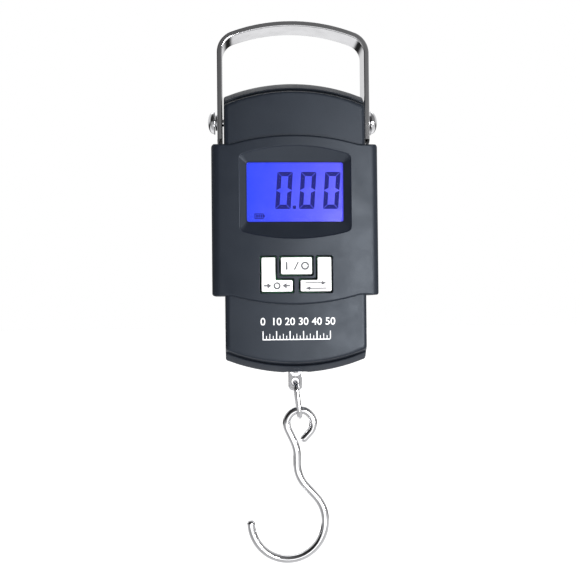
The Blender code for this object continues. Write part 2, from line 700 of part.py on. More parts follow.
def hook_path():
    """The hook's middle line, relative to the centre of its eye."""
    neck_x = -1.25
    eye_start, eye_end = -42.0, 205.0
    bowl, bowl_radius, bowl_start = (-4.85, -37.7), 14.3, 42.0
    eye = arc((0.0, 0.0), EYE_RADIUS, eye_start, eye_end, 24)
    lead = math.radians(eye_start)
    wire_end = (eye[0][0] + 4.7 * math.sin(lead), eye[0][1] - 4.7 * math.cos(lead))
    slope = math.radians(eye_end)
    run = (neck_x - eye[-1][0]) / -math.sin(slope)
    upper = (neck_x, eye[-1][1] + run * math.cos(slope))
    curve = arc(bowl, bowl_radius, bowl_start, -184.0, 34)
    turn = math.radians(bowl_start)
    back = (curve[0][0] - neck_x) / math.sin(turn)
    lower = (neck_x, curve[0][1] + back * math.cos(turn))
    path = [wire_end] + eye
    path += fillet(eye[-1], upper, lower, 14.0, 4)
    path += fillet(upper, lower, curve[0], 12.0, 6)
    return path + curve


def make_hook():
    points = [(EYE_CENTRE[0] + x, 0.0, EYE_CENTRE[1] + z) for x, z in hook_path()]
    add_wire("load_hook", points, HOOK_WIRE_RADIUS, "chrome", "hook", resolution=4)


def make_display():
    """Window, glass, light panel, contact strips and the frame that clamps them to the board."""
    def plate(half, top, bottom, corner):
        return rounded_outline(((-half, bottom), (half, bottom), (half, top), (-half, top)), corner)

    inner = plate(WINDOW_HALF_WIDTH - 0.3, WINDOW_Z[0] - 0.3, WINDOW_Z[1] + 0.3, 0.6)
    flange = plate(20.5, -51.0, -77.0, 0.6)
    steps = ((inner, -10.2), (inner, -9.3), (flange, -9.3), (flange, -8.6))
    window = loft([[(x, y, z) for x, z in outline] for outline, y in steps])
    add_piece("display_window", window, "clear_plastic", "housing")
    glass = block((-GLASS_HALF_WIDTH, GLASS_HALF_WIDTH), (-8.3, -6.5), (GLASS_Z[1], GLASS_Z[0]))
    add_piece("display_glass", glass, "blue_glass", "housing")
    panel = block((-20.0, 20.0), (-6.2, -5.2), (-75.4, -52.6))
    add_piece("backlight_panel", panel, "diffuser_plastic", "housing")
    for name, low in (("upper", -52.3), ("lower", -76.8)):
        strip = block((-18.0, 18.0), (-6.2, -5.2), (low, low + 1.1))
        add_piece(f"contact_strip_{name}", strip, "rubber", "housing")
    frame = add_piece(
        "display_frame", prism(plate(23.2, -49.2, -78.8, 0.8), -8.3, -5.2), "black_plastic", "housing"
    )
    opening = add_tool("frame_opening", prism(plate(21.3, -50.7, -77.3, 0.4), -10.0, -4.0))
    combine(frame, opening, "DIFFERENCE")


def make_board():
    board = add_piece("circuit_board", block((-22.0, 22.0), (-4.9, -3.7), (-104.0, -50.0)), "circuit_green", "housing")
    holes = add_tool("board_holes", merged(screw_rods(BOARD_SCREWS, 1.2, -6.0, -2.0, 12)))
    combine(board, holes, "DIFFERENCE")
    dome = ((4.0, -3.4), (3.7, -2.7), (2.6, -2.1), (1.0, -1.9))
    add_piece("controller_chip", turned(dome, (12.5, 0.0, -88.0), "Y", 18), "black_plastic", "housing")
    add_piece("filter_capacitor", block((-15.5, -9.5), (-3.4, -1.6), (-86.5, -83.5)), "polyimide", "housing")
    crystal = rod(1.0, (0.0, -2.4, -92.0), "X", -16.0, -10.0, 12)
    add_piece("clock_crystal", crystal, "steel", "housing")
    for name, (x, z) in BOARD_SCREWS.items():
        profile = ((0.85, -8.8), (0.85, -3.4), (1.7, -3.4), (1.7, -2.7), (1.2, -2.2))
        add_piece(f"board_screw_{name}", turned(profile, (x, 0.0, z), "Y", 12), "steel", "housing")


def button_outline(opening, lips):
    """The cap's outline: the opening less a gap, and its lip where the casing overlaps it."""
    xs = [x for x, _ in opening]
    zs = [z for _, z in opening]
    centre_x, centre_z = (min(xs) + max(xs)) / 2.0, (min(zs) + max(zs)) / 2.0
    inner = []
    outer = []
    for x, z in opening:
        inward_x = -math.copysign(BUTTON_GAP, x - centre_x)
        inward_z = -math.copysign(BUTTON_GAP, z - centre_z)
        if (x, z) in ((-7.3, -96.6), (-7.3, -88.1)):
            inward_x = -BUTTON_GAP
        if (x, z) in ((-7.3, -96.6), (-0.9, -96.6)):
            inward_z = -BUTTON_GAP
        inner.append((x + inward_x, z + inward_z))
        wide_x = x - BUTTON_LIP if "left" in lips and x == min(xs) else x + inward_x
        wide_z = z + inward_z
        if "top" in lips and z == max(zs):
            wide_z = z + BUTTON_LIP
        if "bottom" in lips and z == min(zs):
            wide_z = z - BUTTON_LIP
        outer.append((wide_x, wide_z))
    return inner, outer


def button_solid(opening, lips, flip):
    inner, outer = button_outline(opening, lips)
    if flip:
        inner, outer = mirrored(inner), mirrored(outer)
    face = rounded_outline(inner, 0.5)
    lip = rounded_outline(outer, 0.5)
    lip_y = BUTTON_LIP_Y
    steps = ((face, BUTTON_FRONT_Y), (face, lip_y[0]), (lip, lip_y[0]), (lip, lip_y[1]))
    return loft([[(x, y, z) for x, z in outline] for outline, y in steps])


def make_buttons():
    """Three caps, each over the plunger of a switch on the board."""
    shapes = {
        "power": (POWER_OPENING, ("top",), False),
        "tare": (TARE_OPENING, ("left", "top", "bottom"), False),
        "unit": (TARE_OPENING, ("left", "top", "bottom"), True),
    }
    for name, (opening, lips, flip) in shapes.items():
        body = f"{name}_key"
        cap = button_solid(opening, lips, flip)
        add_piece(f"{name}_button", cap, "white_plastic", body)
        x, z = SWITCHES[name]
        plunger = turned(((0.8, -9.6), (1.0, -9.4), (1.0, -6.9)), (x, 0.0, z), "Y", 12)
        add_piece(f"{name}_plunger", plunger, "black_plastic", body)
        case = block((x - 2.5, x + 2.5), (-7.2, -5.2), (z - 2.5, z + 2.5))
        switch = add_piece(f"{name}_switch", case, "black_plastic", "housing")
        socket = add_tool(f"{name}_socket", rod(1.35, (x, 0.0, z), "Y", -8.0, -6.0, 12))
        combine(switch, socket, "DIFFERENCE")


def make_power_supply():
    """Two AAA cells end for end beside the load cell, in a tray, with contacts and leads."""
    profile = ((-21.2, 9.3), (-21.2, -0.6), (-8.2, -0.6), (-8.2, 3.5), (8.2, 3.5), (8.2, -0.6),
               (21.2, -0.6), (21.2, 9.3), (20.4, 9.3), (20.4, 0.2), (9.0, 0.2), (9.0, 4.3),
               (-9.0, 4.3), (-9.0, 0.2), (-20.4, 0.2), (-20.4, 9.3))
    tray = loft([[(x, y, z) for x, y in profile] for z in (-101.2, -50.0)])
    add_piece("battery_tray", tray, "black_plastic", "housing")
    cell = ((4.6, 0.0), (CELL_RADIUS, 0.5), (CELL_RADIUS, CELL_LENGTH - 1.6), (4.6, CELL_LENGTH - 1.1),
            (1.9, CELL_LENGTH - 1.1), (1.9, CELL_LENGTH))
    add_piece("battery_left", turned(cell, (-CELL_X, CELL_Y, -95.5), "Z", 18), "cell_wrap", "housing")
    upside_down = [(radius, -height) for radius, height in cell]
    add_piece("battery_right", turned(upside_down, (CELL_X, CELL_Y, -55.6), "Z", 18), "cell_wrap", "housing")
    for name, x, low, high in (("left", -CELL_X, -99.6, -96.3), ("right", CELL_X, -54.8, -51.5)):
        turns, per_turn = 3.0, 9
        count = int(turns * per_turn)
        coil = []
        for i in range(count + 1):
            angle = 2.0 * math.pi * i / per_turn
            share = i / count if name == "right" else 1.0 - i / count
            radius = 3.2 - 1.0 * (1.0 - share)
            coil.append((x + radius * math.cos(angle), CELL_Y + radius * math.sin(angle), high - (high - low) * i / count))
        add_wire(f"battery_spring_{name}", coil, 0.3, "steel", "housing", resolution=1)
    for name, x_range in (("left", (-20.1, -9.3)), ("right", (9.3, 20.1))):
        plate = block(x_range, (1.0, 9.3), (-50.7, -50.3))
        add_piece(f"battery_contact_{name}", plate, "brass", "housing")
    outline = ((-20.1, 1.0), (-9.3, 1.0), (-9.3, 4.6), (9.3, 4.6), (9.3, 1.0), (20.1, 1.0), (20.1, 9.3), (-20.1, 9.3))
    bridge = loft([[(x, y, z) for x, y in outline] for z in (-100.8, -100.4)])
    add_piece("battery_bridge", bridge, "brass", "housing")


def smooth_route(knots, per_span=4):
    """Points on a Catmull-Rom curve through the knots."""
    points = []
    padded = [knots[0], *knots, knots[-1]]
    for a, b, c, d in zip(padded, padded[1:], padded[2:], padded[3:]):
        a, b, c, d = (Vector(p) for p in (a, b, c, d))
        for i in range(per_span):
            t = i / per_span
            points.append(
                0.5 * (2 * b + (c - a) * t + (2 * a - 5 * b + 4 * c - d) * t**2 + (3 * b - a - 3 * c + d) * t**3)
            )
    return points + [Vector(knots[-1])]


def make_leads():
    """Short wires inside the casing, held along their whole length."""
    for name, side, finish in (("red", -1, "red_insulation"), ("black", 1, "black_insulation")):
        knots = [(14.5, 3.0, -49.1), (14.5, 0.3, -48.4), (14.5, -2.2, -49.0), (14.8, -2.9, -51.0), (15.6, -3.0, -53.5)]
        knots = [(side * x, y, z) for x, y, z in knots]
        add_wire(f"battery_lead_{name}", smooth_route(knots), 0.5, finish, "housing", resolution=1)
    knots = [(8.5, -1.9, -62.5), (9.6, -2.1, -66.0), (12.0, -2.2, -69.0), (15.0, -2.2, -72.0), (17.0, -2.8, -75.5)]
    add_wire("gauge_lead", smooth_route(knots), 0.5, "black_insulation", "housing", resolution=1)


def make_case_screws():
    for name, (x, z) in CASE_SCREWS.items():
        profile = ((0.9, -8.8), (1.2, -8.0), (1.2, 5.3), (2.4, 5.3), (2.4, 6.2), (1.9, 7.0), (0.8, 7.3))
        add_piece(f"case_screw_{name}", turned(profile, (x, 0.0, z), "Y", 16), "steel", "housing")


def build():
    clear_scene()
    make_handle()
    make_pivots()
    make_front_cover()
    make_rear_cover()
    make_battery_lid()
    make_bracket()
    make_load_cell()
    make_fitting()
    make_link()
    make_hook()
    make_display()
    make_board()
    make_buttons()
    make_power_supply()
    make_leads()
    make_case_screws()


build()
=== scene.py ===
"""The looks of a digital fish scale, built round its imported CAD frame.

Shapes are worked out in millimetres in the frame's own axes and stored in metres. The
origin is the underside of the handle's bridge, +Z is up and the display faces -Y.
"""

import math

import bmesh
import bpy
from mathutils import Matrix, Vector


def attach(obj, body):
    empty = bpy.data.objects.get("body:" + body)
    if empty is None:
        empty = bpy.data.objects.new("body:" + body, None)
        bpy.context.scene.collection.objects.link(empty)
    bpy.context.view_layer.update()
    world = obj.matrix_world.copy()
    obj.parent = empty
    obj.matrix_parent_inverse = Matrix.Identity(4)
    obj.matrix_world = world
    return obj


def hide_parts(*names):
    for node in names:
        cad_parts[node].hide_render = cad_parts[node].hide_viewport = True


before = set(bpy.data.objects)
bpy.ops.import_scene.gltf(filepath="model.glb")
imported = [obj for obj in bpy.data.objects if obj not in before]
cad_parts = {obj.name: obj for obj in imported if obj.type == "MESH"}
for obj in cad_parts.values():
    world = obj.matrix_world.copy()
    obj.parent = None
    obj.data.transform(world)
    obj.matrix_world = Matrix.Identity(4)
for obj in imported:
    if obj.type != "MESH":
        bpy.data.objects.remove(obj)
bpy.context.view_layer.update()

MM = 0.001

# Casing.
BODY_HALF_WIDTH = 26.6
BODY_TOP = (-22.1, -27.2)
BODY_BOTTOM = (-132.2, -127.1)
BODY_FACE_Y = 11.6
BODY_CORNER = 1.0
BAND_HALF_WIDTH = 31.4
BAND_TOP = (-42.9, -46.1)
BAND_BOTTOM = (-106.3, -102.9)
BAND_ARC_HALF = 23.9
BAND_CORNER = 1.0
BAND_SHOULDER = 7.0
BAND_SIDE_ROUNDING = 3.0
BAND_END_ROUNDING = 0.8
BAND_FACE_Y = 13.0
BAND_CROWN = {-1: 2.0, 1: 1.2}
BODY_CROWN = {-1: 0.8, 1: 0.0}
WALL = 2.0
CAVITY_CORNER = 1.5
CAVITY_FACE_Y = 9.6
PARTING_GAP = 0.15
PIVOT_Z = -36.0
PIVOT_BORE = (2.1, 29.0)  # radius, reach to either side
# The slot for the hook's fitting: (z, half width, half depth).
PASSAGE_LEVELS = ((-134.0, 5.9, 9.5), (-132.5, 5.4, 7.5), (-131.1, 3.2, 4.4), (-128.0, 3.2, 4.4))
PASSAGE_CORNER = 1.2

# Points of an arched edge that make way for the rounding of its corners.
CORNER_SKIP = 4

# Stations of the narrow body: (inset at the ends, y there, inset at the sides, y there).
BODY_STATIONS = (
    (0.35, 0.15, 0.35, 0.15), (0.05, 0.45, 0.05, 0.45), (0.0, 0.7, 0.0, 0.7),
    (0.0, 5.0, 0.0, 5.0), (0.08, 5.55, 0.0, 5.6), (0.45, 6.15, 0.0, 6.2),
    (2.3, 8.8, 0.0, 7.9), (2.62, 9.05, 0.0, 8.15), (2.86, 8.9, 0.0, 8.4),
    (3.0, 8.45, 0.0, 8.6), (3.12, 8.35, 0.0, 8.8), (3.24, 8.55, 0.0, 9.0),
    (4.14, 10.95, 0.0, 9.9), (4.24, 11.22, 0.06, 10.35), (4.42, 11.43, 0.26, 10.85),
    (4.68, 11.56, 0.66, 11.3), (5.05, 11.6, 1.25, 11.54), (5.3, 11.6, 1.7, 11.6),
)
TONGUE = ((0.75, -0.16, 0.75, -0.16), (0.75, 0.15, 0.75, 0.15))
CAVITY_STATIONS = (
    (WALL, -1.0, WALL, -1.0),
    (WALL, 4.8, WALL, 4.8),
    (6.9, CAVITY_FACE_Y, WALL, CAVITY_FACE_Y),
)

# Display and buttons.
WINDOW_HALF_WIDTH = 18.2
WINDOW_Z = (-52.8, -75.2)
RECESS_HALF_WIDTH = 20.7
RECESS_TOP = (-47.1, -50.4)
RECESS_BOTTOM = (-81.5, -78.5)
RECESS_FLOOR_Y = -10.3
RECESS_CORNER = 2.0
WINDOW_CORNER = 0.8
# The window's edge: (how far outside the opening, y).
WINDOW_EDGE = (
    (0.25, RECESS_FLOOR_Y - 0.2), (0.1, RECESS_FLOOR_Y - 0.06), (0.0, RECESS_FLOOR_Y + 0.1),
    (0.0, -8.0),
)
# A rim rolls over in these steps: (how far outside the opening, how deep under the face).
RIM = ((0.62, -0.6), (0.36, 0.004), (0.2, 0.05), (0.08, 0.15), (0.0, 0.32))
POWER_OPENING = ((-6.35, -95.6), (6.35, -95.6), (6.35, -88.1), (-6.35, -88.1))
TARE_OPENING = (
    (-13.6, -102.0), (-0.9, -102.0), (-0.9, -96.6), (-7.3, -96.6), (-7.3, -88.1), (-13.6, -88.1),
)
BUTTON_GAP = 0.6
BUTTON_FRONT = 13.3
BUTTON_ROLL = 0.4
KEY_HOLE_CORNER = 0.6
KEY_HOLE_FLOOR = -8.9
SIGN_Z = -99.3
SIGN_PROUD = 0.045
STAMP_LIFT = 0.004

# The reading. A digit's size is its width, its height and the width of its bars.
DIGIT_LEFTS = (-7.5, 1.45, 10.6)
DIGIT_BOTTOM = -70.2
DIGIT_SIZE = (5.8, 14.0, 1.6)
DIGIT_SLANT = 0.07
DIGIT_GAP = 0.12
READING_Y = -8.3
BATTERY_SIGN = (-15.3, -73.9)

# Screws and battery bay at the back.
CASE_SCREWS = {
    "upper_left": (-26.4, -54.0),
    "upper_right": (26.4, -54.0),
    "lower_left": (-19.0, -117.0),
    "lower_right": (19.0, -117.0),
}
BOSS_RADII = {-1: 2.7, 1: 3.7}
BOSS_REACH = 10.4
THREAD_HOLE = (1.5, -9.4, 1.0)  # radius, from y, to y
SCREW_WELL = (
    (1.5, -1.0), (1.5, 5.0), (2.8, 5.0), (2.8, 11.2), (2.95, 11.45), (3.25, 11.61), (3.6, 15.0),
)
SCREW_SHANK = [(0.9, -8.8), (1.2, -8.0), (1.2, 5.3), (2.3, 5.3), (2.4, 5.42), (2.4, 5.75)]
SCREW_SLOT = (1.25, 0.3)
BAY_Z = (-49.9, -101.1)
BAY_HALF_WIDTH = 21.9
BAY_LEDGE = 1.0
LID_GAP = 0.3
# The lid's edge: (inset, depth under the face, or None for its inner side).
LID_EDGE = ((0.0, None), (0.0, 0.5), (0.08, 0.2), (0.24, 0.04), (0.4, 0.0))
LID_INNER_Y = 11.3
LID_ARROW = ((-2.6, -63.6), (0.0, -66.4), (2.6, -63.6))
LID_RIBS = 6
LID_RIB_PITCH = 1.5
LID_RIB_RADIUS = 0.55
LID_RIB_Y = 13.15

# Handle.
STRIP_WIDTH = 12.0
STRIP_THICKNESS = 2.0
BRIDGE_RADIUS = 66.0
HANDLE_CORNER_RADIUS = 7.5
HANDLE_HALF_SPAN = 28.1
LEG_END_RADIUS = 9.4
LEG_STATIONS = (-5.0, 6.0, 14.0)
HANDLE_HOLE = (1.8, 26.0, 30.5)  # radius, from x, to x
STRIP_EASE = 0.45

# Pivots: (radius, distance from the middle) pairs.
PIVOT_SHANK = [
    (1.5, 18.6), (1.5, 30.0), (4.4, 30.0), (4.52, 30.08), (4.55, 30.25), (4.5, 30.45),
    (4.3, 30.55),
]
WASHER = (
    (1.8, 29.3), (1.95, 29.25), (2.95, 29.25), (3.05, 29.35), (3.05, 29.75), (2.95, 29.85),
    (1.95, 29.85), (1.8, 29.8),
)

# Hanging parts.
PIN_Z = -131.5
TAB_HALF_WIDTH = 2.6
TAB_HALF_THICKNESS = 1.1
TAB_HOLE_Z = -136.0
TAB_END_Z = -139.4
TAB_END_CORNER = 1.6
# Half the tab's holes, as (radius, y) pairs from the front.
PIN_HOLE = ((1.4, -1.3), (1.15, -0.95), (1.1, -0.8))
LINK_HOLE = ((1.9, -1.4), (1.6, -0.95), (1.5, -0.7))
PIN_END = [
    (0.35, 3.4), (0.7, 3.34), (1.05, 3.18), (1.25, 2.98), (1.3, 2.8), (1.3, 2.72), (0.8, 2.7),
]
CHEEK_RADIUS = 2.2
CHEEK_TOP = -125.5
CHEEK_Y = (1.4, 2.6)
LINK_WIRE_RADIUS = 0.9
LINK_BEND_RADIUS = 3.2
LINK_LENGTH = 13.4
LINK_TILT = math.radians(7.0)
LINK_PLANE = Vector((math.cos(LINK_TILT), 0.0, math.sin(LINK_TILT)))
LINK_TOP_Z = -136.3
HOOK_PLANE = Vector((0.0, 1.0, 0.0))
HOOK_WIRE_RADIUS = 1.5
EYE_RADIUS = 5.15
EYE_BELOW_LINK = 2.55
EYE_X = LINK_LENGTH * math.sin(LINK_TILT)
EYE_Z = LINK_TOP_Z - LINK_LENGTH * math.cos(LINK_TILT) - EYE_BELOW_LINK
EYE_ANGLES = (-42.0, 205.0)
EYE_FREE_END = 4.7
NECK_X = -1.25
BEND_CENTRE = (-4.85, -37.7)
BEND_RADIUS = 14.3
BEND_ANGLES = (42.0, -178.0)
WIRE_SIDES = 28
TIP_STEPS = 8

# Meshing: a crease is an edge sharper than this, in degrees.
CREASE = 32.0
DOME_CREASE = 25.0
SOFT_CREASE = 40.0
WIRE_CREASE = 50.0
WELD = 0.002 * MM

# The range that most of a noise texture's values fall in.
NOISE_RANGE = (0.3, 0.7)

# Setting.
CAMERA_PLACE = (-22.0, -341.0, -106.5)
CAMERA_TARGET = (-1.93, -13.0, -101.45)
CAMERA_LENS = 54.6
CAMERA_ROLL = -0.55
FLOOR_Z = -235.0
FLOOR_GLOW = 0.85
FLOOR_OUTLINE = ((-3000.0, -1500.0), (3000.0, -1500.0), (3000.0, 4500.0), (-3000.0, 4500.0))
# The room in reflections, by direction: (from, to, brightness at from, brightness at to).
ROOM_FRONT = (-0.15, 0.25, 0.46, 0.10)
ROOM_BACK = (0.0, 0.22, 0.02, 0.75)
ROOM_BACK_LOW = (-0.24, -0.12, 0.88, 0.0)
ROOM_SIDE = (-0.8, 0.8, -0.10, 0.16)
ROOM_LOW = (-0.75, -0.35, 0.15, 0.0)
ROOM_TURN = (-0.1, 0.5)  # where the front of the room becomes its back
ROOM_DARKEST = 0.02  # the least brightness of its front
# Lights in metres and watts: (name, place, target, size, power).
SOFTBOXES = (
    ("key", (0.34, -0.68, -0.10), (0.0, 0.0, -0.10), (0.46, 0.22), 7.0),
    ("top_back", (-0.05, 0.30, 0.35), (0.0, 0.0, -0.05), (0.5, 0.2), 0.35),
    ("low_front", (0.0, -0.24, -0.225), (0.0, -0.01, -0.05), (0.3, 0.1), 0.12),
)


# --- shapes


def merged(parts):
    """One bmesh that holds several separate closed shapes."""
    whole = bmesh.new()
    for part in parts:
        copied = {v: whole.verts.new(v.co) for v in part.verts}
        for face in part.faces:
            whole.faces.new([copied[v] for v in face.verts])
        part.free()
    return whole


def stored(name, bm, sharp=CREASE):
    """An object from a bmesh in mm."""
    bmesh.ops.scale(bm, vec=(MM, MM, MM), verts=bm.verts)
    bmesh.ops.recalc_face_normals(bm, faces=bm.faces)
    mesh = bpy.data.meshes.new(name)
    bm.to_mesh(mesh)
    bm.free()
    mesh.shade_smooth()
    mesh.set_sharp_from_angle(angle=math.radians(sharp))
    obj = bpy.data.objects.new(name, mesh)
    bpy.context.scene.collection.objects.link(obj)
    return obj


def carved(obj, steps, sharp=CREASE):
    """Apply Booleans, given as (operation, bmesh in mm) pairs, and keep a plain mesh."""
    tools = []
    for operation, bm in steps:
        tool = stored(f"{obj.name}_tool", bm)
        modifier = obj.modifiers.new(operation, "BOOLEAN")
        modifier.operation = operation
        modifier.solver = "EXACT"
        modifier.object = tool
        tools.append(tool)
    graph = bpy.context.evaluated_depsgraph_get()
    result = bpy.data.meshes.new_from_object(obj.evaluated_get(graph), depsgraph=graph)
    obj.modifiers.clear()
    obj.data = result
    for tool in tools:
        bpy.data.objects.remove(tool, do_unlink=True)
    bm = bmesh.new()
    bm.from_mesh(result)
    bmesh.ops.remove_doubles(bm, verts=bm.verts, dist=WELD)
    bmesh.ops.dissolve_degenerate(bm, edges=bm.edges, dist=WELD)
    bm.to_mesh(result)
    bm.free()
    result.shade_smooth()
    result.set_sharp_from_angle(angle=math.radians(sharp))
    weighted = obj.modifiers.new("Even shading", "WEIGHTED_NORMAL")
    weighted.keep_sharp = True
    weighted.weight = 80
    return obj


def piece(obj, body, finish, slot, *nodes):
    """Finish a piece: its material, the body it rides on, and the CAD nodes it stands for."""
    obj.data.materials.clear()
    obj.data.materials.append(FINISHES[finish])
    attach(obj, body)
    if nodes:
        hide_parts(*nodes)
    return obj


def loft(rings, ruled=False, cyclic=False):
    """A closed skin through rings of equal length. A ruled cap keeps a crowned face crowned,
    and cyclic rings close on themselves instead of being capped."""
    bm = bmesh.new()
    loops = [[bm.verts.new(point) for point in ring] for ring in rings]
    count = len(loops[0])
    pairs = list(zip(loops, loops[1:])) + ([(loops[-1], loops[0])] if cyclic else [])
    for low, high in pairs:
        for i in range(count):
            j = (i + 1) % count
            bm.faces.new((low[i], low[j], high[j], high[i]))
    for cap in () if cyclic else (loops[0], loops[-1]):
        if ruled:
            for i in range(count // 2 - 1):
                bm.faces.new((cap[i], cap[i + 1], cap[-2 - i], cap[-1 - i]))
        else:
            bm.faces.new(cap)
    return bm


def prism(outline, low_y, high_y):
    return loft([[(x, y, z) for x, z in outline] for y in (low_y, high_y)])


def turned(profile, centre, axis, sides=48, cyclic=False):
    """A solid, or a ring, of revolution from (radius, height along the axis) pairs."""
    rings = []
    for radius, height in profile:
        ring = []
        for i in range(sides):
            angle = 2.0 * math.pi * i / sides
            u, v = radius * math.cos(angle), radius * math.sin(angle)
            offset = {"X": (height, u, v), "Y": (u, height, v), "Z": (u, v, height)}[axis]
            ring.append(Vector(centre) + Vector(offset))
        rings.append(ring)
    return loft(rings, cyclic=cyclic)


def rod(radius, centre, axis, low, high, sides=32):
    return turned(((radius, low), (radius, high)), centre, axis, sides)


def dome(radius, base, height, angles):
    """(radius, height) pairs of a flattened dome."""
    turns = [math.radians(angle) for angle in angles]
    return [(radius * math.cos(turn), base + height * math.sin(turn)) for turn in turns]


def box_outline(half_width, low, high):
    return ((-half_width, low), (half_width, low), (half_width, high), (-half_width, high))


def arc(centre, radius, start, end, steps):
    """Points on an arc, its angles in degrees."""
    points = []
    for i in range(steps + 1):
        angle = math.radians(start + (end - start) * i / steps)
        points.append((centre[0] + radius * math.cos(angle), centre[1] + radius * math.sin(angle)))
    return points


def fillet(before, corner, after, radius, steps):
    """Points of the arc that rounds a corner between two straight runs."""
    corner = Vector(corner)
    back = (Vector(before) - corner).normalized()
    ahead = (Vector(after) - corner).normalized()
    half = back.angle(ahead) / 2.0
    centre = corner + (back + ahead).normalized() * (radius / math.sin(half))
    start = corner + back * (radius / math.tan(half)) - centre
    end = corner + ahead * (radius / math.tan(half)) - centre
    first = math.atan2(start.y, start.x)
    turn = (math.atan2(end.y, end.x) - first + math.pi) % (2.0 * math.pi) - math.pi
    return arc(centre, radius, math.degrees(first), math.degrees(first + turn), steps)


def offset(corners, distance):
    """An anticlockwise outline moved outward, its corners kept square."""
    moved = []
    count = len(corners)
    for i, corner in enumerate(corners):
        here = Vector(corner)
        before, after = Vector(corners[i - 1]), Vector(corners[(i + 1) % count])
        first, second = (here - before).normalized(), (after - here).normalized()
        normals = Vector((first.y, -first.x)), Vector((second.y, -second.x))
        share = distance / (1.0 + normals[0].dot(normals[1]))
        moved.append(here + (normals[0] + normals[1]) * share)
    return moved


def rounded(corners, radius, steps=6):
    """A closed outline with all its corners rounded alike."""
    points = []
    count = len(corners)
    for i, corner in enumerate(corners):
        points += fillet(corners[i - 1], corner, corners[(i + 1) % count], radius, steps)
    return points


def edge_chain(up, half_width, middle, side, arc_half, corner, blend, steps=48):
    """The top (up = 1) or bottom (up = -1) edge of an outline, left to right, corners rounded."""
    rise = middle - side
    if abs(rise) < 1e-6:
        curve = [(arc_half * (2.0 * i / steps - 1.0), side) for i in range(steps + 1)]
    else:
        radius = (arc_half**2 + rise**2) / (2.0 * rise)
        spread = math.degrees(math.asin(arc_half / abs(radius)))
        upright = math.copysign(90.0, rise)
        turn = math.copysign(spread, rise)
        curve = arc((0.0, middle - radius), abs(radius), upright + turn, upright - turn, steps)
    if arc_half >= half_width:
        curve = curve[:1] + curve[CORNER_SKIP:-CORNER_SKIP] + curve[-1:]
    bends = {0: corner, len(curve) - 1: corner}
    if arc_half < half_width:
        curve = [(-half_width, side)] + curve + [(half_width, side)]
        bends = {0: corner, 1: blend, len(curve) - 2: blend, len(curve) - 1: corner}
    foot = side - up * 4.0 * corner
    path = [(-half_width, foot)] + curve + [(half_width, foot)]
    chain = []
    for i, point in enumerate(curve):
        if i in bends:
            chain += fillet(path[i], point, path[i + 2], bends[i], 6)
        else:
            chain.append(point)
    return chain


def inset_outline(half_width, top, bottom, inset, arc_half, corner, blend=0.0):
    """A closed outline. Its top and bottom edges, each (middle, side), are moved inward."""
    upper, lower = [edge - inset for edge in top], [edge + inset for edge in bottom]
    over = edge_chain(1, half_width, *upper, arc_half, corner, blend)
    under = edge_chain(-1, half_width, *lower, arc_half, corner, blend)
    return over + under[::-1]


def crowned(x, depth, half_width, crown, face):
    """A depth brought back towards the sides, in proportion to how near the face it is."""
    return depth - crown * (x / half_width) ** 2 * max(0.0, depth) / face


def shell_rings(half_width, top, bottom, arc_half, corner, blend, stations, face, crown):
    """Rings of half a casing: each station insets the outline and sets its depth."""
    rings = []
    for end_inset, end_y, side_inset, side_y in stations:
        width = half_width - side_inset
        reach = arc_half if arc_half < half_width else width
        ring = []
        for x, z in inset_outline(width, top, bottom, end_inset, reach, corner, blend):
            share = min(1.0, (width - abs(x)) / corner)
            depth = side_y + (end_y - side_y) * share
            ring.append((x, crowned(x, depth, half_width, crown, face), z))
        rings.append(ring)
    return rings


def rounding_stations(face, end_radius, side_radius, steps=8):
    """Stations of a slab whose parting edge is broken and whose front edges are rounded over."""
    stations = [(0.3, 0.15, 0.3, 0.15), (0.05, 0.42, 0.05, 0.42), (0.0, 0.65, 0.0, 0.65)]
    for i in range(steps + 1):
        angle = math.radians(90.0 * i / steps)
        inward, back = 1.0 - math.cos(angle), 1.0 - math.sin(angle)
        end = (end_radius * inward, face - end_radius * back)
        stations.append((*end, side_radius * inward, face - side_radius * back))
    return stations


def faced(rings, side):
    """The same rings on the front (-1) or on the back (+1) of the parting plane."""
    return [[(x, side * y, z) for x, y, z in ring] for ring in rings]


def body_half(side, stations):
    rings = shell_rings(
        BODY_HALF_WIDTH, BODY_TOP, BODY_BOTTOM, BODY_HALF_WIDTH, BODY_CORNER, 0.0,
        stations, BODY_FACE_Y, BODY_CROWN[side],
    )
    return loft(faced(rings, side), ruled=True)


def band_half(side, tongue):
    stations = rounding_stations(BAND_FACE_Y, BAND_END_ROUNDING, BAND_SIDE_ROUNDING)
    rings = shell_rings(
        BAND_HALF_WIDTH, BAND_TOP, BAND_BOTTOM, BAND_ARC_HALF, BAND_CORNER, BAND_SHOULDER,
        list(tongue) + stations, BAND_FACE_Y, BAND_CROWN[side],
    )
    return loft(faced(rings, side), ruled=True)


def band_cavity(side):
    half = BAND_HALF_WIDTH - WALL
    low_z, high_z = BAND_BOTTOM[1] + WALL, BAND_TOP[1] - WALL
    low, high = sorted((-side * 1.0, side * (CAVITY_FACE_Y - 0.2)))
    return prism(rounded(box_outline(half, low_z, high_z), CAVITY_CORNER), low, high)


def bottom_passage():
    """The slot in the bottom edge that the hook's fitting hangs through, with its flare."""
    rings = []
    for z, half_x, half_y in PASSAGE_LEVELS:
        outline = rounded(box_outline(half_x, -half_y, half_y), PASSAGE_CORNER)
        rings.append([(x, y, z) for x, y in outline])
    return loft(rings)


def band_face(side, x):
    """The y of the band's crowned face at a distance from the middle."""
    return side * (BAND_FACE_Y - BAND_CROWN[side] * (x / BAND_HALF_WIDTH) ** 2)


def body_face(side, x):
    return side * (BODY_FACE_Y - BODY_CROWN[side] * (x / BODY_HALF_WIDTH) ** 2)


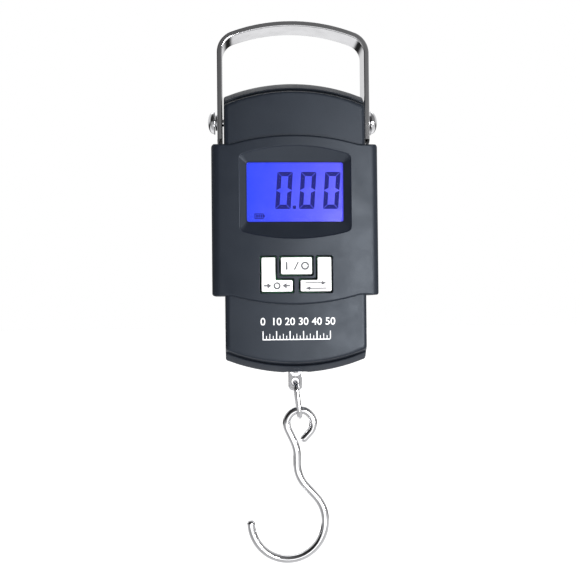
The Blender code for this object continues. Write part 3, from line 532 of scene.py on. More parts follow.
def recess_cutter():
    """The sunk surround of the display: a rolled rim, four slopes and a square-cut window."""
    rings = []
    for spread, depth in RIM:
        half, corner = RECESS_HALF_WIDTH + spread, RECESS_CORNER + spread
        outline = inset_outline(half, RECESS_TOP, RECESS_BOTTOM, -spread, half, corner)
        rings.append([(x, band_face(-1, x) + depth, z) for x, z in outline])
    top, bottom = ((z, z) for z in WINDOW_Z)
    for spread, y in WINDOW_EDGE:
        half = WINDOW_HALF_WIDTH + spread
        outline = inset_outline(half, top, bottom, -spread, half, WINDOW_CORNER)
        rings.append([(x, y, z) for x, z in outline])
    return loft(rings, ruled=True)


def opening_cutter(corners, radius, side, floor):
    """A hole through a band face, its rim rolled like the display's."""
    rings = []
    for spread, depth in RIM:
        outline = rounded(offset(corners, spread * 0.6), radius + spread * 0.6)
        rings.append([(x, band_face(side, x) - side * depth * 0.7, z) for x, z in outline])
    rings.append([(x, floor, z) for x, z in rounded(corners, radius)])
    return loft(rings)


def mirrored(outline):
    return tuple((-x, z) for x, z in reversed(outline))


OPENINGS = {"power": POWER_OPENING, "tare": TARE_OPENING, "unit": mirrored(TARE_OPENING)}


def pivot_bore():
    return rod(PIVOT_BORE[0], (0.0, 0.0, PIVOT_Z), "X", -PIVOT_BORE[1], PIVOT_BORE[1])


def screw_bosses(side):
    low, high = sorted((side * PARTING_GAP, side * BOSS_REACH))
    places = CASE_SCREWS.values()
    return merged([rod(BOSS_RADII[side], (x, 0.0, z), "Y", low, high) for x, z in places])


def make_front():
    shell = stored("casing_front", body_half(-1, BODY_STATIONS))
    radius, low, high = THREAD_HOLE
    holes = [rod(radius, (x, 0.0, z), "Y", low, high) for x, z in CASE_SCREWS.values()]
    steps = [
        ("UNION", band_half(-1, ())),
        ("DIFFERENCE", body_half(-1, CAVITY_STATIONS)),
        ("DIFFERENCE", band_cavity(-1)),
        ("UNION", screw_bosses(-1)),
        ("DIFFERENCE", recess_cutter()),
    ]
    for corners in OPENINGS.values():
        cutter = opening_cutter(corners, KEY_HOLE_CORNER, -1, KEY_HOLE_FLOOR)
        steps.append(("DIFFERENCE", cutter))
    steps += [("DIFFERENCE", merged(holes + [pivot_bore()])), ("DIFFERENCE", bottom_passage())]
    piece(carved(shell, steps), "housing", "slate_plastic", "slate_plastic", "front_cover")


def make_rear():
    shell = stored("casing_rear", body_half(1, TONGUE + BODY_STATIONS))
    wells = [turned(SCREW_WELL, (x, 0.0, z), "Y") for x, z in CASE_SCREWS.values()]
    high, low = BAY_Z
    bay = box_outline(BAY_HALF_WIDTH - BAY_LEDGE, low + BAY_LEDGE, high - BAY_LEDGE)
    seat = box_outline(BAY_HALF_WIDTH, low, high)
    steps = [
        ("UNION", band_half(1, TONGUE)),
        ("DIFFERENCE", body_half(1, CAVITY_STATIONS)),
        ("DIFFERENCE", band_cavity(1)),
        ("UNION", screw_bosses(1)),
        ("DIFFERENCE", prism(rounded(bay, 0.8), 8.0, 14.0)),
        ("DIFFERENCE", opening_cutter(seat, 1.3, 1, 11.0)),
        ("DIFFERENCE", merged(wells + [pivot_bore()])),
        ("DIFFERENCE", bottom_passage()),
    ]
    piece(carved(shell, steps), "housing", "slate_plastic", "slate_plastic", "rear_cover")


def make_lid():
    """The battery lid: crowned like the band, edges broken, with a ribbed thumb dish."""
    top, bottom = (BAY_Z[0] - LID_GAP,) * 2, (BAY_Z[1] + LID_GAP,) * 2
    rings = []
    for inset, level in LID_EDGE:
        half = BAY_HALF_WIDTH - LID_GAP - inset
        ring = []
        for x, z in inset_outline(half, top, bottom, inset, half, 1.0):
            ring.append((x, LID_INNER_Y if level is None else band_face(1, x) - level, z))
        rings.append(ring)
    lid = stored("lid", loft(rings, ruled=True))
    grips = []
    for i in range(LID_RIBS):
        reach = 6.5 - 0.5 * i
        centre = (0.0, LID_RIB_Y, -53.0 - LID_RIB_PITCH * i)
        grips.append(rod(LID_RIB_RADIUS, centre, "X", -reach, reach, 20))
    steps = [("DIFFERENCE", merged(grips)), ("DIFFERENCE", prism(LID_ARROW, 12.75, 14.0))]
    carved(lid, steps)
    piece(lid, "battery_lid", "slate_plastic", "slate_plastic", "battery_door")


# --- handle and pivots


def strip_section():
    """Points (across, along y) round the handle's strip, its long edges rounded."""
    half, edge, ease = STRIP_THICKNESS / 2.0, STRIP_WIDTH / 2.0, STRIP_EASE
    across = [-edge + ease + (STRIP_WIDTH - 2.0 * ease) * i / 8 for i in range(9)]
    section = [(-half, y) for y in across]
    section += arc((-half + ease, edge - ease), ease, 180.0, 90.0, 5)[1:]
    section += arc((half - ease, edge - ease), ease, 90.0, 0.0, 5)
    section += [(half, y) for y in reversed(across)][1:]
    section += arc((half - ease, -edge + ease), ease, 0.0, -90.0, 5)[1:]
    section += arc((-half + ease, -edge + ease), ease, 270.0, 180.0, 5)[:-1]
    return section


def make_handle():
    middle_radius = BRIDGE_RADIUS + STRIP_THICKNESS / 2.0
    hub_z = STRIP_THICKNESS / 2.0 - middle_radius
    reach = middle_radius - HANDLE_CORNER_RADIUS
    corner_x = HANDLE_HALF_SPAN - HANDLE_CORNER_RADIUS
    corner_z = hub_z + math.sqrt(reach**2 - corner_x**2)
    lean = math.degrees(math.asin(corner_x / reach))
    leg = [(HANDLE_HALF_SPAN, PIVOT_Z + rise) for rise in LEG_STATIONS]
    path = leg + arc((corner_x, corner_z), HANDLE_CORNER_RADIUS, 0.0, 90.0 - lean, 18)
    path += arc((0.0, hub_z), middle_radius, 90.0 - lean, 90.0 + lean, 40)[1:-1]
    path += arc((-corner_x, corner_z), HANDLE_CORNER_RADIUS, 90.0 + lean, 180.0, 18)
    path += [(-x, z) for x, z in reversed(leg)]
    rings = []
    last = len(path) - 1
    for i, point in enumerate(path):
        before, after = Vector(path[max(i - 1, 0)]), Vector(path[min(i + 1, last)])
        along = (after - before).normalized()
        outward = Vector((along.y, -along.x))
        ring = []
        for across, y in strip_section():
            place = Vector(point) + outward * across
            if i in (0, last):
                place.y = PIVOT_Z - math.sqrt(LEG_END_RADIUS**2 - y**2)
            ring.append((place.x, y, place.y))
        rings.append(ring)
    handle = stored("bail", loft(rings), SOFT_CREASE)
    radius, near, far = HANDLE_HOLE
    spans = ((-far, -near), (near, far))
    holes = [rod(radius, (0.0, 0.0, PIVOT_Z), "X", low, high) for low, high in spans]
    carved(handle, [("DIFFERENCE", merged(holes))], SOFT_CREASE)
    piece(handle, "handle", "chrome", "chrome", "bail_handle")


def make_pivots():
    """Dome-headed screws with a flange, and their washers."""
    head = PIVOT_SHANK + dome(4.15, 30.6, 2.15, range(0, 86, 7))
    centre = (0.0, 0.0, PIVOT_Z)
    for side, name in ((-1, "left"), (1, "right")):
        screw = turned([(radius, side * place) for radius, place in head], centre, "X", 56)
        screw = stored(f"pivot_head_{name}", screw, DOME_CREASE)
        piece(screw, "housing", "chrome", "chrome", f"pivot_screw_{name}")
        profile = [(radius, side * place) for radius, place in WASHER]
        washer = stored(f"washer_{name}", turned(profile, centre, "X", cyclic=True))
        piece(washer, "housing", "steel", "steel", f"pivot_washer_{name}")


# --- hanging parts


def plate(name, outline, half_thickness, ease):
    """A flat plate in the XZ plane with rounded edges."""
    middle = sum((Vector(point) for point in outline), Vector((0.0, 0.0))) / len(outline)
    bend = 0.3
    front = [
        (ease, 1.0),
        (ease * bend, 1.0 - bend * ease / half_thickness),
        (0.0, 1.0 - ease / half_thickness),
    ]
    levels = [(inset, -share) for inset, share in front]
    levels += [(inset, share) for inset, share in reversed(front)]
    rings = []
    for inset, share in levels:
        ring = []
        for point in outline:
            away = Vector(point) - middle
            place = middle + away * (1.0 - inset / away.length)
            ring.append((place.x, half_thickness * share, place.y))
        rings.append(ring)
    return stored(name, loft(rings))


def flared_hole(half_profile, z):
    """A hole along Y with both mouths flared."""
    profile = list(half_profile) + [(radius, -y) for radius, y in reversed(half_profile)]
    return turned(profile, (0.0, 0.0, z), "Y")


def make_fitting():
    """The tab that hangs on the pin, the fork that carries the pin, and the pin."""
    outline = arc((0.0, PIN_Z), TAB_HALF_WIDTH, 0.0, 180.0, 24)
    corner, low = TAB_END_CORNER, TAB_END_Z + TAB_END_CORNER
    outline += arc((-TAB_HALF_WIDTH + corner, low), corner, 180.0, 270.0, 10)
    outline += arc((TAB_HALF_WIDTH - corner, low), corner, 270.0, 360.0, 10)
    tab = plate("hook_tab", outline, TAB_HALF_THICKNESS, 0.25)
    holes = merged([flared_hole(PIN_HOLE, PIN_Z), flared_hole(LINK_HOLE, TAB_HOLE_Z)])
    carved(tab, [("DIFFERENCE", holes)])
    piece(tab, "fitting", "chrome", "chrome", "hook_fitting")

    block = rounded(box_outline(3.0, -126.5, -111.4), 0.4)
    fork = stored("fork", prism(block, -3.0, 3.0))
    cheek = [(CHEEK_RADIUS, CHEEK_TOP)] + arc((0.0, PIN_Z), CHEEK_RADIUS, 0.0, -180.0, 24)
    cheek.append((-CHEEK_RADIUS, CHEEK_TOP))
    near, far = CHEEK_Y
    shank = rod(1.5, (0.0, 0.0, 0.0), "Z", -112.0, -103.0)
    added = merged([shank, prism(cheek, near, far), prism(cheek, -far, -near)])
    bore = rod(0.95, (0.0, 0.0, PIN_Z), "Y", -4.0, 4.0)
    carved(fork, [("UNION", added), ("DIFFERENCE", bore)])
    piece(fork, "housing", "steel", "steel", "lower_clevis")

    profile = [(radius, -height) for radius, height in PIN_END] + PIN_END[::-1]
    pin = turned(profile, (0.0, 0.0, PIN_Z), "Y", 32)
    piece(stored("pin", pin), "housing", "chrome", "chrome", "clevis_pin")


def wire(name, points, radius, plane, cyclic=False):
    """A round wire along points in a plane, given by its normal. An open one ends in half balls."""
    path = [Vector(point) for point in points]
    last = len(path) - 1
    stations = []
    for i, place in enumerate(path):
        after = path[(i + 1) % len(path) if cyclic else min(i + 1, last)]
        before = path[i - 1 if cyclic else max(i - 1, 0)]
        stations.append((place, (after - before).normalized(), radius))
    if not cyclic:
        tips = []
        for (place, along, _), sign in ((stations[0], -1.0), (stations[-1], 1.0)):
            tip = []
            for step in range(1, TIP_STEPS):
                angle = math.radians(90.0 * step / TIP_STEPS)
                moved = place + along * (sign * radius * math.sin(angle))
                tip.append((moved, along, radius * math.cos(angle)))
            tips.append(tip)
        stations = tips[0][::-1] + stations + tips[1]
    turns = [2.0 * math.pi * k / WIRE_SIDES for k in range(WIRE_SIDES)]
    rings = []
    for place, along, size in stations:
        across = along.cross(plane).normalized() * size
        rings.append([place + across * math.cos(a) + plane * (size * math.sin(a)) for a in turns])
    return stored(name, loft(rings, cyclic=cyclic), WIRE_CREASE)


def make_link():
    """An oval ring that hangs in the tab's hole, in the plane of Y and its own tilted length."""
    reach = LINK_LENGTH - 2.0 * LINK_BEND_RADIUS
    flat = arc((0.0, -LINK_BEND_RADIUS), LINK_BEND_RADIUS, 0.0, 180.0, 28)
    flat += arc((0.0, -LINK_BEND_RADIUS - reach), LINK_BEND_RADIUS, 180.0, 360.0, 28)
    sine, cosine = math.sin(LINK_TILT), math.cos(LINK_TILT)
    points = [(-along * sine, y, LINK_TOP_Z + along * cosine) for y, along in flat]
    ring = wire("link_ring", points, LINK_WIRE_RADIUS, LINK_PLANE, cyclic=True)
    piece(ring, "link", "chrome", "chrome", "hook_link")


def hook_path():
    """The hook's middle line, relative to the centre of its eye."""
    eye = arc((0.0, 0.0), EYE_RADIUS, *EYE_ANGLES, 60)
    lead, slope = (math.radians(angle) for angle in EYE_ANGLES)
    free = EYE_FREE_END - HOOK_WIRE_RADIUS
    path = []
    for share in (1.0, 0.5):
        reach = free * share
        path.append((eye[0][0] + reach * math.sin(lead), eye[0][1] - reach * math.cos(lead)))
    path += eye
    run = (NECK_X - eye[-1][0]) / -math.sin(slope)
    upper = (NECK_X, eye[-1][1] + run * math.cos(slope))
    curve = arc(BEND_CENTRE, BEND_RADIUS, *BEND_ANGLES, 100)
    turn = math.radians(BEND_ANGLES[0])
    back = (curve[0][0] - NECK_X) / math.sin(turn)
    lower = (NECK_X, curve[0][1] + back * math.cos(turn))
    path += fillet(eye[-1], upper, lower, 14.0, 10)
    path += fillet(upper, lower, curve[0], 12.0, 16)
    return path + curve


def make_hook():
    points = [(EYE_X + x, 0.0, EYE_Z + z) for x, z in hook_path()]
    hook = wire("hook", points, HOOK_WIRE_RADIUS, HOOK_PLANE)
    piece(hook, "hook", "chrome", "chrome", "load_hook")


# --- display, keys and print


def offset_ring(corners, spread, radius, y):
    return [(x, y, z) for x, z in rounded(offset(corners, spread), radius)]


def key_shape(corners):
    """A key cap: its front edges rolled over, its face very slightly dished."""
    rings = [offset_ring(corners, -BUTTON_GAP, 0.5, -10.0)]
    for angle in range(0, 91, 15):
        inward = BUTTON_ROLL * (1.0 - math.cos(math.radians(angle)))
        back = BUTTON_ROLL * (1.0 - math.sin(math.radians(angle)))
        rings.append(offset_ring(corners, -BUTTON_GAP - inward, 0.5, -BUTTON_FRONT + back))
    for inward, radius, back in ((0.62, 0.3, 0.03), (0.95, 0.2, 0.07)):
        rings.append(offset_ring(corners, -BUTTON_GAP - inward, radius, -BUTTON_FRONT + back))
    return loft(rings)


def make_keys():
    for name, corners in OPENINGS.items():
        cap = stored(f"{name}_cap", key_shape(corners), SOFT_CREASE)
        piece(cap, f"{name}_key", "white_plastic", "white_plastic", f"{name}_button")


def stamp(name, shapes, face, finish, slot, body, thickness):
    """Printed shapes, given as outlines in the XZ plane, laid on a front that is y = face(x)."""
    solids = []
    for outline in shapes:
        levels = (STAMP_LIFT, thickness)
        solids.append(loft([[(x, face(x) - lift, z) for x, z in outline] for lift in levels]))
    piece(stored(name, merged(solids)), body, finish, slot)


def bar(x0, x1, z0, z1):
    return [(x0, z0), (x1, z0), (x1, z1), (x0, z1)]


def ring_shapes(x, z, inner, outer):
    """A printed ring, in two halves."""
    halves = []
    for start, end in ((2, 181), (181, 360)):
        halves.append(arc((x, z), outer, start, end, 20) + arc((x, z), inner, end, start, 20))
    return halves


def nought(left):
    """The six bars that show a nought on a seven-bar display, with mitred ends."""
    width, height, stroke = DIGIT_SIZE
    middle, mitre = height / 2.0, stroke + DIGIT_GAP
    top = [
        (DIGIT_GAP, height),
        (width - DIGIT_GAP, height),
        (width - mitre, height - stroke),
        (mitre, height - stroke),
    ]
    upper_left = [
        (0.0, height - DIGIT_GAP),
        (stroke, height - mitre),
        (stroke, middle + stroke / 2.0 + DIGIT_GAP),
        (0.0, middle + DIGIT_GAP),
    ]
    halves = (top, [(width - x, z) for x, z in upper_left], upper_left)
    bars = halves + tuple([(x, height - z) for x, z in shape] for shape in halves)
    return [[(left + x + DIGIT_SLANT * z, DIGIT_BOTTOM + z) for x, z in shape] for shape in bars]


def make_reading():
    """The reading on the glass: three digits, a point and a small full-battery sign."""
    shapes = [shape for left in DIGIT_LEFTS for shape in nought(left)]
    shapes.append(bar(-0.85, 0.35, DIGIT_BOTTOM, DIGIT_BOTTOM + 1.25))
    x, z = BATTERY_SIGN
    shapes += [bar(x, x + 3.4, z + level, z + level + 0.3) for level in (0.0, 1.7)]
    shapes += [bar(x + side, x + side + 0.3, z + 0.3, z + 1.7) for side in (0.0, 3.1)]
    shapes.append(bar(x + 3.4, x + 3.8, z + 0.6, z + 1.4))
    shapes += [bar(x + 0.6 + 0.85 * i, x + 1.2 + 0.85 * i, z + 0.5, z + 1.5) for i in range(3)]
    stamp("reading", shapes, lambda x: READING_Y, "segment_ink", "blue_glass", "housing", 0.06)


def make_key_signs():
    """Signs on the keys: bar and ring, a nought between arrowheads, and two opposed arrows."""
    z = SIGN_Z
    power = [
        bar(-4.0, -3.3, -93.4, -90.4),
        [(-1.1, -93.4), (-0.5, -93.4), (1.0, -90.4), (0.4, -90.4)],
        *ring_shapes(3.2, -91.9, 0.9, 1.55),
    ]
    tare = [
        *ring_shapes(-7.3, z, 0.75, 1.35),
        [(-10.9, z - 1.1), (-9.3, z), (-10.9, z + 1.1)],
        [(-3.7, z - 1.1), (-3.7, z + 1.1), (-5.3, z)],
        bar(-12.2, -10.9, z - 0.3, z + 0.3),
        bar(-3.7, -2.4, z - 0.3, z + 0.3),
    ]
    unit = [
        bar(3.2, 9.3, z + 0.75, z + 1.25),
        [(9.3, z + 0.2), (11.2, z + 1.0), (9.3, z + 1.8)],
        bar(5.1, 11.2, z - 1.25, z - 0.75),
        [(5.1, z - 0.2), (5.1, z - 1.8), (3.2, z - 1.0)],
    ]
    for name, shapes in (("power", power), ("tare", tare), ("unit", unit)):
        stamp(
            f"{name}_sign", shapes, lambda x: SIGN_PROUD - BUTTON_FRONT,
            "legend_ink", "white_plastic", f"{name}_key", 0.05,
        )


def numeral_shapes(bm, words, size, centre_x, base_z, face):
    """Add a number, set in the built-in face, to a bmesh as flat shapes just proud of a face."""
    curve = bpy.data.curves.new("numeral", "FONT")
    curve.body = words
    curve.size = size
    curve.align_x = "CENTER"
    curve.offset = size * 0.006
    curve.extrude = 0.015
    obj = bpy.data.objects.new("numeral", curve)
    bpy.context.scene.collection.objects.link(obj)
    bpy.context.view_layer.update()
    graph = bpy.context.evaluated_depsgraph_get()
    mesh = bpy.data.meshes.new_from_object(obj.evaluated_get(graph), depsgraph=graph)
    made = []
    for vertex in mesh.vertices:
        x = vertex.co.x + centre_x
        made.append(bm.verts.new((x, face(x) - 0.02 - vertex.co.z, vertex.co.y + base_z)))
    for polygon in mesh.polygons:
        bm.faces.new([made[i] for i in polygon.vertices])
    bpy.data.objects.remove(obj, do_unlink=True)
    bpy.data.meshes.remove(mesh)


def make_print():
    """A plain graduated rule with numbers, printed on the lower face."""
    face = lambda x: body_face(-1, x)
    numbers = bmesh.new()
    for i in range(6):
        numeral_shapes(numbers, str(10 * i), 3.9, -12.6 + 5.04 * i, -113.9, face)
    bmesh.ops.remove_doubles(numbers, verts=numbers.verts, dist=1e-5)
    piece(stored("rule_numbers", numbers), "housing", "print_ink", "white_plastic")
    ticks = [bar(-12.76 + 1.26 * k, -11.5 + 1.26 * k, -119.5, -119.14) for k in range(20)]
    for i in range(21):
        x = -12.6 + 1.26 * i
        low = -116.2 if i % 4 == 0 else -117.2 if i % 2 == 0 else -117.9
        half = 0.17 if i % 4 == 0 else 0.12
        ticks.append(bar(x - half, x + half, -119.14, low))
    stamp("rule_ticks", ticks, face, "print_ink", "white_plastic", "housing", 0.035)


def make_case_screws():
    """Round-headed screws with a cross recess, at the bottom of their wells."""
    profile = SCREW_SHANK + dome(2.4, 5.75, 1.4, range(12, 84, 9))
    long, short = SCREW_SLOT
    for name, (x, z) in CASE_SCREWS.items():
        screw = stored(f"screw_{name}", turned(profile, (x, 0.0, z), "Y"))
        cross = (
            prism(bar(x - long, x + long, z - short, z + short), 6.2, 8.0),
            prism(bar(x - short, x + short, z - long, z + long), 6.21, 8.01),
        )
        carved(screw, [("DIFFERENCE", tool) for tool in cross])
        piece(screw, "housing", "steel", "steel", f"case_screw_{name}")


# --- finishes


class Look:
    """A Principled material being made. Its textures are in object space."""

    def __init__(self, name, **constants):
        self.material = bpy.data.materials.new(name)
        self.material.use_nodes = True
        self.tree = self.material.node_tree
        self.shader = self.tree.nodes["Principled BSDF"]
        self.place = self.node("ShaderNodeTexCoord").outputs["Object"]
        for socket, value in constants.items():
            self.shader.inputs[socket.replace("_", " ")].default_value = value

    def node(self, kind, **settings):
        made = self.tree.nodes.new(kind)
        for key, value in settings.items():
            setattr(made, key, value)
        return made

    def link(self, source, target):
        self.tree.links.new(source, target)

    def stretched(self, scale):
        mapping = self.node("ShaderNodeMapping")
        mapping.inputs["Scale"].default_value = scale
        self.link(self.place, mapping.inputs["Vector"])
        return mapping.outputs["Vector"]

    def noise(self, scale, detail=3.0, roughness=0.55, stretch=None):
        made = self.node("ShaderNodeTexNoise")
        made.inputs["Scale"].default_value = scale
        made.inputs["Detail"].default_value = detail
        made.inputs["Roughness"].default_value = roughness
        self.link(self.stretched(stretch) if stretch else self.place, made.inputs["Vector"])
        return made.outputs["Fac"]

    def spread(self, source, low, high, out_low, out_high):
        made = self.node("ShaderNodeMapRange")
        levels = {"From Min": low, "From Max": high, "To Min": out_low, "To Max": out_high}
        for key, value in levels.items():
            made.inputs[key].default_value = value
        self.link(source, made.inputs["Value"])
        return made.outputs["Result"]

    def graded(self, source, out_low, out_high):
        """A noise's usual range as out_low to out_high."""
        return self.spread(source, *NOISE_RANGE, out_low, out_high)

    def mixed(self, share, first, second):
        """A mix of two colours, each given as a tuple or as another node's output."""
        made = self.node("ShaderNodeMix", data_type="RGBA")
        self.link(share, made.inputs["Factor"])
        for name, value in (("A", first), ("B", second)):
            socket = next(s for s in made.inputs if s.name == name and s.type == "RGBA")
            if isinstance(value, tuple):
                socket.default_value = (*value, 1.0)
            else:
                self.link(value, socket)
        return next(s for s in made.outputs if s.type == "RGBA")

    def mottled(self, source, colour, dark, light):
        """A colour between two shades of itself, by a noise."""
        return self.mixed(self.graded(source, 0.0, 1.0), shade(colour, dark), shade(colour, light))

    def crevice(self, distance, inside=False):
        """Light that reaches a point, less in a crease. Inside, it is less near an outer edge."""
        made = self.node("ShaderNodeAmbientOcclusion", samples=6, inside=inside, only_local=True)
        made.inputs["Distance"].default_value = distance * MM
        return made.outputs["AO"]

    def combined(self, operation, first, second):
        made = self.node("ShaderNodeMath", operation=operation)
        self.link(first, made.inputs[0])
        self.link(second, made.inputs[1])
        return made.outputs[0]

    def colour(self, source):
        self.link(source, self.shader.inputs["Base Color"])

    def roughness(self, source):
        self.link(source, self.shader.inputs["Roughness"])

    def bump(self, source, height, strength=1.0):
        """Relief of a height in mm from a 0 to 1 source."""
        made = self.node("ShaderNodeBump")
        made.inputs["Strength"].default_value = strength
        made.inputs["Distance"].default_value = height * MM
        self.link(source, made.inputs["Height"])
        self.link(made.outputs["Normal"], self.shader.inputs["Normal"])


def shade(colour, factor):
    return tuple(min(1.0, channel * factor) for channel in colour)


def moulded(name, colour, roughness, grain, depth, wear=None, **constants):
    """Injection-moulded plastic: eroded grain, faint clouding, painted shade in creases, rubbed
    edges.
    """
    look = Look(name, **constants)
    cloud = look.noise(60.0, 3.0)
    fine = look.noise(grain, 3.0, 0.6)
    base = look.mottled(cloud, colour, 0.88, 1.12)
    speck = look.mixed(look.spread(fine, 0.35, 0.7, 0.0, 0.35), base, shade(colour, 1.45))
    rub = look.noise(420.0, 4.0, 0.7)
    edge = look.spread(look.crevice(0.7, inside=True), 0.62, 0.2, 0.0, 1.0)
    worn = look.combined("MULTIPLY", edge, look.spread(rub, 0.42, 0.62, 0.0, 0.5))
    rubbed = look.mixed(worn, speck, wear or shade(colour, 1.6))
    # Painted shade: the colour goes towards a near-black copy of itself where ambient occlusion
    # finds a crease.
    painted_crease_shade = look.spread(look.crevice(1.6), 0.25, 0.9, 0.55, 0.0)
    look.colour(look.mixed(painted_crease_shade, rubbed, shade(colour, 0.25)))
    look.roughness(look.graded(look.noise(95.0, 4.0, 0.6), roughness - 0.05, roughness + 0.07))
    look.bump(fine, depth)
    return look.material


def plated(name, colour, low_roughness, high_roughness, scratch=0.004):
    """Bright plating: fine drawn scratches, patches of handling haze and painted shade in creases.
    """
    look = Look(name, Metallic=1.0)
    haze = look.noise(140.0, 4.0, 0.6)
    drawn = look.noise(900.0, 2.0, 0.5, (1.0, 5.0, 0.25))
    share = look.spread(haze, 0.3, 0.75, 0.0, 1.0)
    tone = look.mixed(share, shade(colour, 1.05), shade(colour, 0.86))
    # Painted shade: the plating's colour goes dark where ambient occlusion finds a crease.
    painted_crease_shade = look.spread(look.crevice(1.2), 0.2, 0.85, 0.6, 0.0)
    look.colour(look.mixed(painted_crease_shade, tone, shade(colour, 0.18)))
    look.roughness(look.spread(haze, 0.35, 0.7, low_roughness, high_roughness))
    look.bump(drawn, scratch)
    return look.material


def brushed(name, colour, roughness, stretch):
    look = Look(name, Metallic=1.0)
    lines = look.noise(500.0, 3.0, 0.6, stretch)
    look.colour(look.mottled(lines, colour, 0.8, 1.1))
    look.roughness(look.graded(lines, roughness - 0.08, roughness + 0.1))
    look.bump(lines, 0.01)
    return look.material


def lit_glass():
    """The lit display: blue at the left, paler at the right."""
    look = Look("blue_glass", Roughness=0.18, Emission_Strength=0.94)
    parts = look.node("ShaderNodeSeparateXYZ")
    look.link(look.place, parts.inputs["Vector"])
    across = look.spread(parts.outputs["X"], -18.0 * MM, 18.0 * MM, 0.0, 1.0)
    uneven = look.combined("ADD", across, look.graded(look.noise(70.0, 2.0), -0.04, 0.04))
    glow = look.mixed(uneven, (0.020, 0.048, 0.86), (0.105, 0.105, 1.0))
    look.link(glow, look.shader.inputs["Emission Color"])
    look.colour(look.mixed(uneven, (0.01, 0.02, 0.2), (0.02, 0.02, 0.25)))
    look.roughness(look.graded(look.noise(300.0), 0.14, 0.22))
    return look.material


def clear_cover():
    """The clear window over the display."""
    tint = (0.02, 0.025, 0.05, 1.0)
    look = Look("clear_plastic", Alpha=0.06, Specular_IOR_Level=0.15, Base_Color=tint)
    look.roughness(look.graded(look.noise(160.0, 3.0), 0.05, 0.12))
    look.bump(look.noise(900.0, 2.0), 0.002)
    return look.material


def ink(name, colour, roughness=0.5, **constants):
    """Printed ink: slightly uneven coverage."""
    look = Look(name, **constants)
    cover = look.noise(2600.0, 3.0, 0.7)
    look.colour(look.mottled(cover, colour, 0.82, 1.06))
    look.roughness(look.graded(cover, roughness - 0.06, roughness + 0.08))
    look.bump(cover, 0.004)
    return look.material


def banded(name, first, second, axis, spacing, roughness):
    """A colour broken by fine bands along an axis, such as a cell's wrapper or a board's tracks."""
    look = Look(name)
    wave = look.node("ShaderNodeTexWave", wave_type="BANDS", bands_direction=axis)
    wave.inputs["Scale"].default_value = 1.0 / (spacing * MM) / 20.0
    wave.inputs["Distortion"].default_value = 1.5
    look.link(look.place, wave.inputs["Vector"])
    stripe = look.spread(wave.outputs["Fac"], 0.72, 0.8, 0.0, 1.0)
    cloud = look.noise(500.0, 3.0)
    look.colour(look.mixed(stripe, look.mottled(cloud, first, 0.85, 1.15), second))
    look.roughness(look.graded(cloud, roughness - 0.05, roughness + 0.08))
    look.bump(wave.outputs["Fac"], 0.01)
    return look.material


def make_finishes():
    """Every material by name. The frame's own nodes use the same names."""
    plastics = {
        "black_plastic": ((0.018, 0.018, 0.020), 0.5, 2600.0, 0.010),
        "diffuser_plastic": ((0.72, 0.78, 0.95), 0.5, 1800.0, 0.006),
        "rubber": ((0.09, 0.05, 0.065), 0.8, 1500.0, 0.015),
        "red_insulation": ((0.55, 0.03, 0.02), 0.45, 2500.0, 0.005),
        "black_insulation": ((0.03, 0.03, 0.03), 0.45, 2500.0, 0.005),
        "white_plastic": ((0.90, 0.90, 0.91), 0.34, 3000.0, 0.004, (0.85, 0.85, 0.85)),
    }
    bands = {
        "polyimide": ((0.50, 0.24, 0.05), (0.62, 0.40, 0.20), "Z", 0.6, 0.4),
        "circuit_green": ((0.015, 0.15, 0.06), (0.05, 0.30, 0.13), "DIAGONAL", 1.6, 0.42),
        "cell_wrap": ((0.10, 0.11, 0.13), (0.45, 0.30, 0.08), "Z", 14.0, 0.35),
    }
    made = {name: moulded(name, *values) for name, values in plastics.items()}
    made |= {name: banded(name, *values) for name, values in bands.items()}
    made["slate_plastic"] = moulded(
        "slate_plastic", (0.0085, 0.011, 0.0165), 0.41, 3600.0, 0.012, (0.04, 0.045, 0.055),
        Specular_IOR_Level=0.33, Specular_Tint=(0.82, 0.90, 1.0, 1.0),
    )
    made["clear_plastic"] = clear_cover()
    made["blue_glass"] = lit_glass()
    made["chrome"] = plated("chrome", (0.80, 0.80, 0.82), 0.06, 0.13)
    made["steel"] = plated("steel", (0.58, 0.58, 0.60), 0.24, 0.38, 0.008)
    made["aluminium"] = brushed("aluminium", (0.70, 0.71, 0.73), 0.34, (1.0, 1.0, 0.05))
    made["brass"] = brushed("brass", (0.76, 0.56, 0.26), 0.30, (0.05, 1.0, 1.0))
    made["segment_ink"] = ink(
        "segment_ink", (0.001, 0.001, 0.02), 0.6,
        Specular_IOR_Level=0.2, Emission_Color=(0.001, 0.002, 0.26, 1.0), Emission_Strength=0.8,
    )
    made["legend_ink"] = ink("legend_ink", (0.07, 0.07, 0.08))
    made["print_ink"] = ink("print_ink", (0.88, 0.88, 0.90))
    return made


# --- setting


def make_floor():
    bm = bmesh.new()
    bm.faces.new([bm.verts.new((x, y, FLOOR_Z)) for x, y in FLOOR_OUTLINE])
    floor = stored("floor", bm)
    look = Look("pale_floor", Emission_Color=(1.0, 1.0, 1.0, 1.0), Emission_Strength=FLOOR_GLOW)
    grain = look.noise(3.0, 4.0)
    pale, paler = (0.88, 0.88, 0.88), (0.92, 0.92, 0.92)
    look.colour(look.mixed(look.graded(grain, 0.0, 1.0), pale, paler))
    look.roughness(look.graded(grain, 0.85, 0.95))
    floor.data.materials.append(look.material)
    floor.visible_glossy = False


def softbox(name, place, target, size, power):
    light = bpy.data.lights.new(name, "AREA")
    light.shape = "RECTANGLE"
    light.size, light.size_y = size
    light.energy = power
    obj = bpy.data.objects.new(name, light)
    obj.location = place
    obj.rotation_euler = (Vector(target) - Vector(place)).to_track_quat("-Z", "Y").to_euler()
    bpy.context.scene.collection.objects.link(obj)


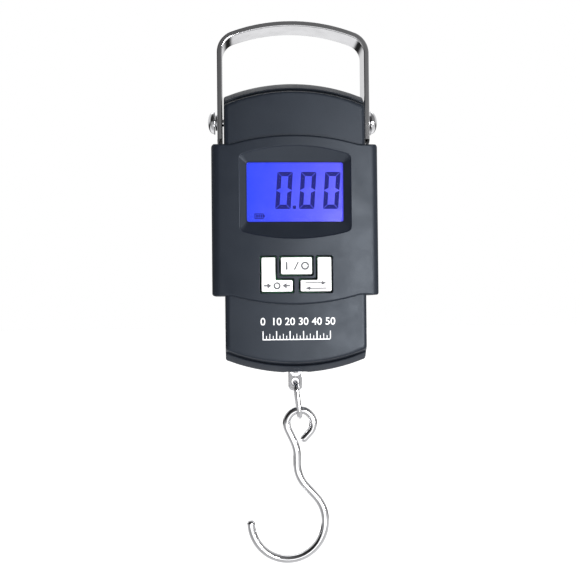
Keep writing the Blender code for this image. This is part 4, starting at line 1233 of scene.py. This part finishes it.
def make_surroundings():
    """A white backdrop for the camera, and for reflections a grey room, darker above in front."""
    world = bpy.data.worlds.new("studio")
    bpy.context.scene.world = world
    world.use_nodes = True
    tree = world.node_tree
    back = tree.nodes["Background"]
    coords = tree.nodes.new("ShaderNodeTexCoord")
    parts = tree.nodes.new("ShaderNodeSeparateXYZ")
    tree.links.new(coords.outputs["Generated"], parts.inputs["Vector"])

    def ramp(axis, low, high, out_low, out_high):
        made = tree.nodes.new("ShaderNodeMapRange")
        made.interpolation_type = "SMOOTHSTEP"
        levels = {"From Min": low, "From Max": high, "To Min": out_low, "To Max": out_high}
        for key, value in levels.items():
            made.inputs[key].default_value = value
        tree.links.new(parts.outputs[axis], made.inputs["Value"])
        return made.outputs["Result"]

    def combined(operation, first, second):
        made = tree.nodes.new("ShaderNodeMath")
        made.operation = operation
        tree.links.new(first, made.inputs[0])
        if isinstance(second, float):
            made.inputs[1].default_value = second
        else:
            tree.links.new(second, made.inputs[1])
        return made.outputs[0]

    front = combined("ADD", ramp("Z", *ROOM_FRONT), ramp("X", *ROOM_SIDE))
    room = tree.nodes.new("ShaderNodeMix")
    tree.links.new(ramp("Y", *ROOM_TURN, 0.0, 1.0), room.inputs["Factor"])
    tree.links.new(combined("MAXIMUM", front, ROOM_DARKEST), room.inputs["A"])
    behind = combined("ADD", ramp("Z", *ROOM_BACK), ramp("Z", *ROOM_BACK_LOW))
    tree.links.new(behind, room.inputs["B"])
    around = combined("ADD", room.outputs["Result"], ramp("Z", *ROOM_LOW))
    path = tree.nodes.new("ShaderNodeLightPath")
    seen = tree.nodes.new("ShaderNodeMix")
    tree.links.new(path.outputs["Is Camera Ray"], seen.inputs["Factor"])
    tree.links.new(around, seen.inputs["A"])
    seen.inputs["B"].default_value = 1.0
    tree.links.new(seen.outputs["Result"], back.inputs["Strength"])
    back.inputs["Color"].default_value = (1.0, 1.0, 1.0, 1.0)


def make_camera():
    camera = bpy.data.objects.new("camera", bpy.data.cameras.new("camera"))
    camera.data.lens = CAMERA_LENS
    camera.data.sensor_width = 36.0
    camera.data.clip_start = 0.01
    camera.location = Vector(CAMERA_PLACE) * MM
    aim = (Vector(CAMERA_TARGET) - Vector(CAMERA_PLACE)).to_track_quat("-Z", "Y")
    roll = Matrix.Rotation(math.radians(CAMERA_ROLL), 3, "Z").to_quaternion()
    camera.rotation_mode = "QUATERNION"
    camera.rotation_quaternion = aim @ roll
    bpy.context.scene.collection.objects.link(camera)
    bpy.context.scene.camera = camera


bpy.context.scene.view_settings.view_transform = "Standard"
FINISHES = make_finishes()
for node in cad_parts.values():
    for holder in node.material_slots:
        holder.material = FINISHES[holder.material.name.split(".")[0]]

make_front()
make_rear()
make_lid()
make_handle()
make_pivots()
make_fitting()
make_link()
make_hook()
make_keys()
make_reading()
make_key_signs()
make_print()
make_case_screws()

make_camera()
make_floor()
make_surroundings()
for box in SOFTBOXES:
    softbox(*box)
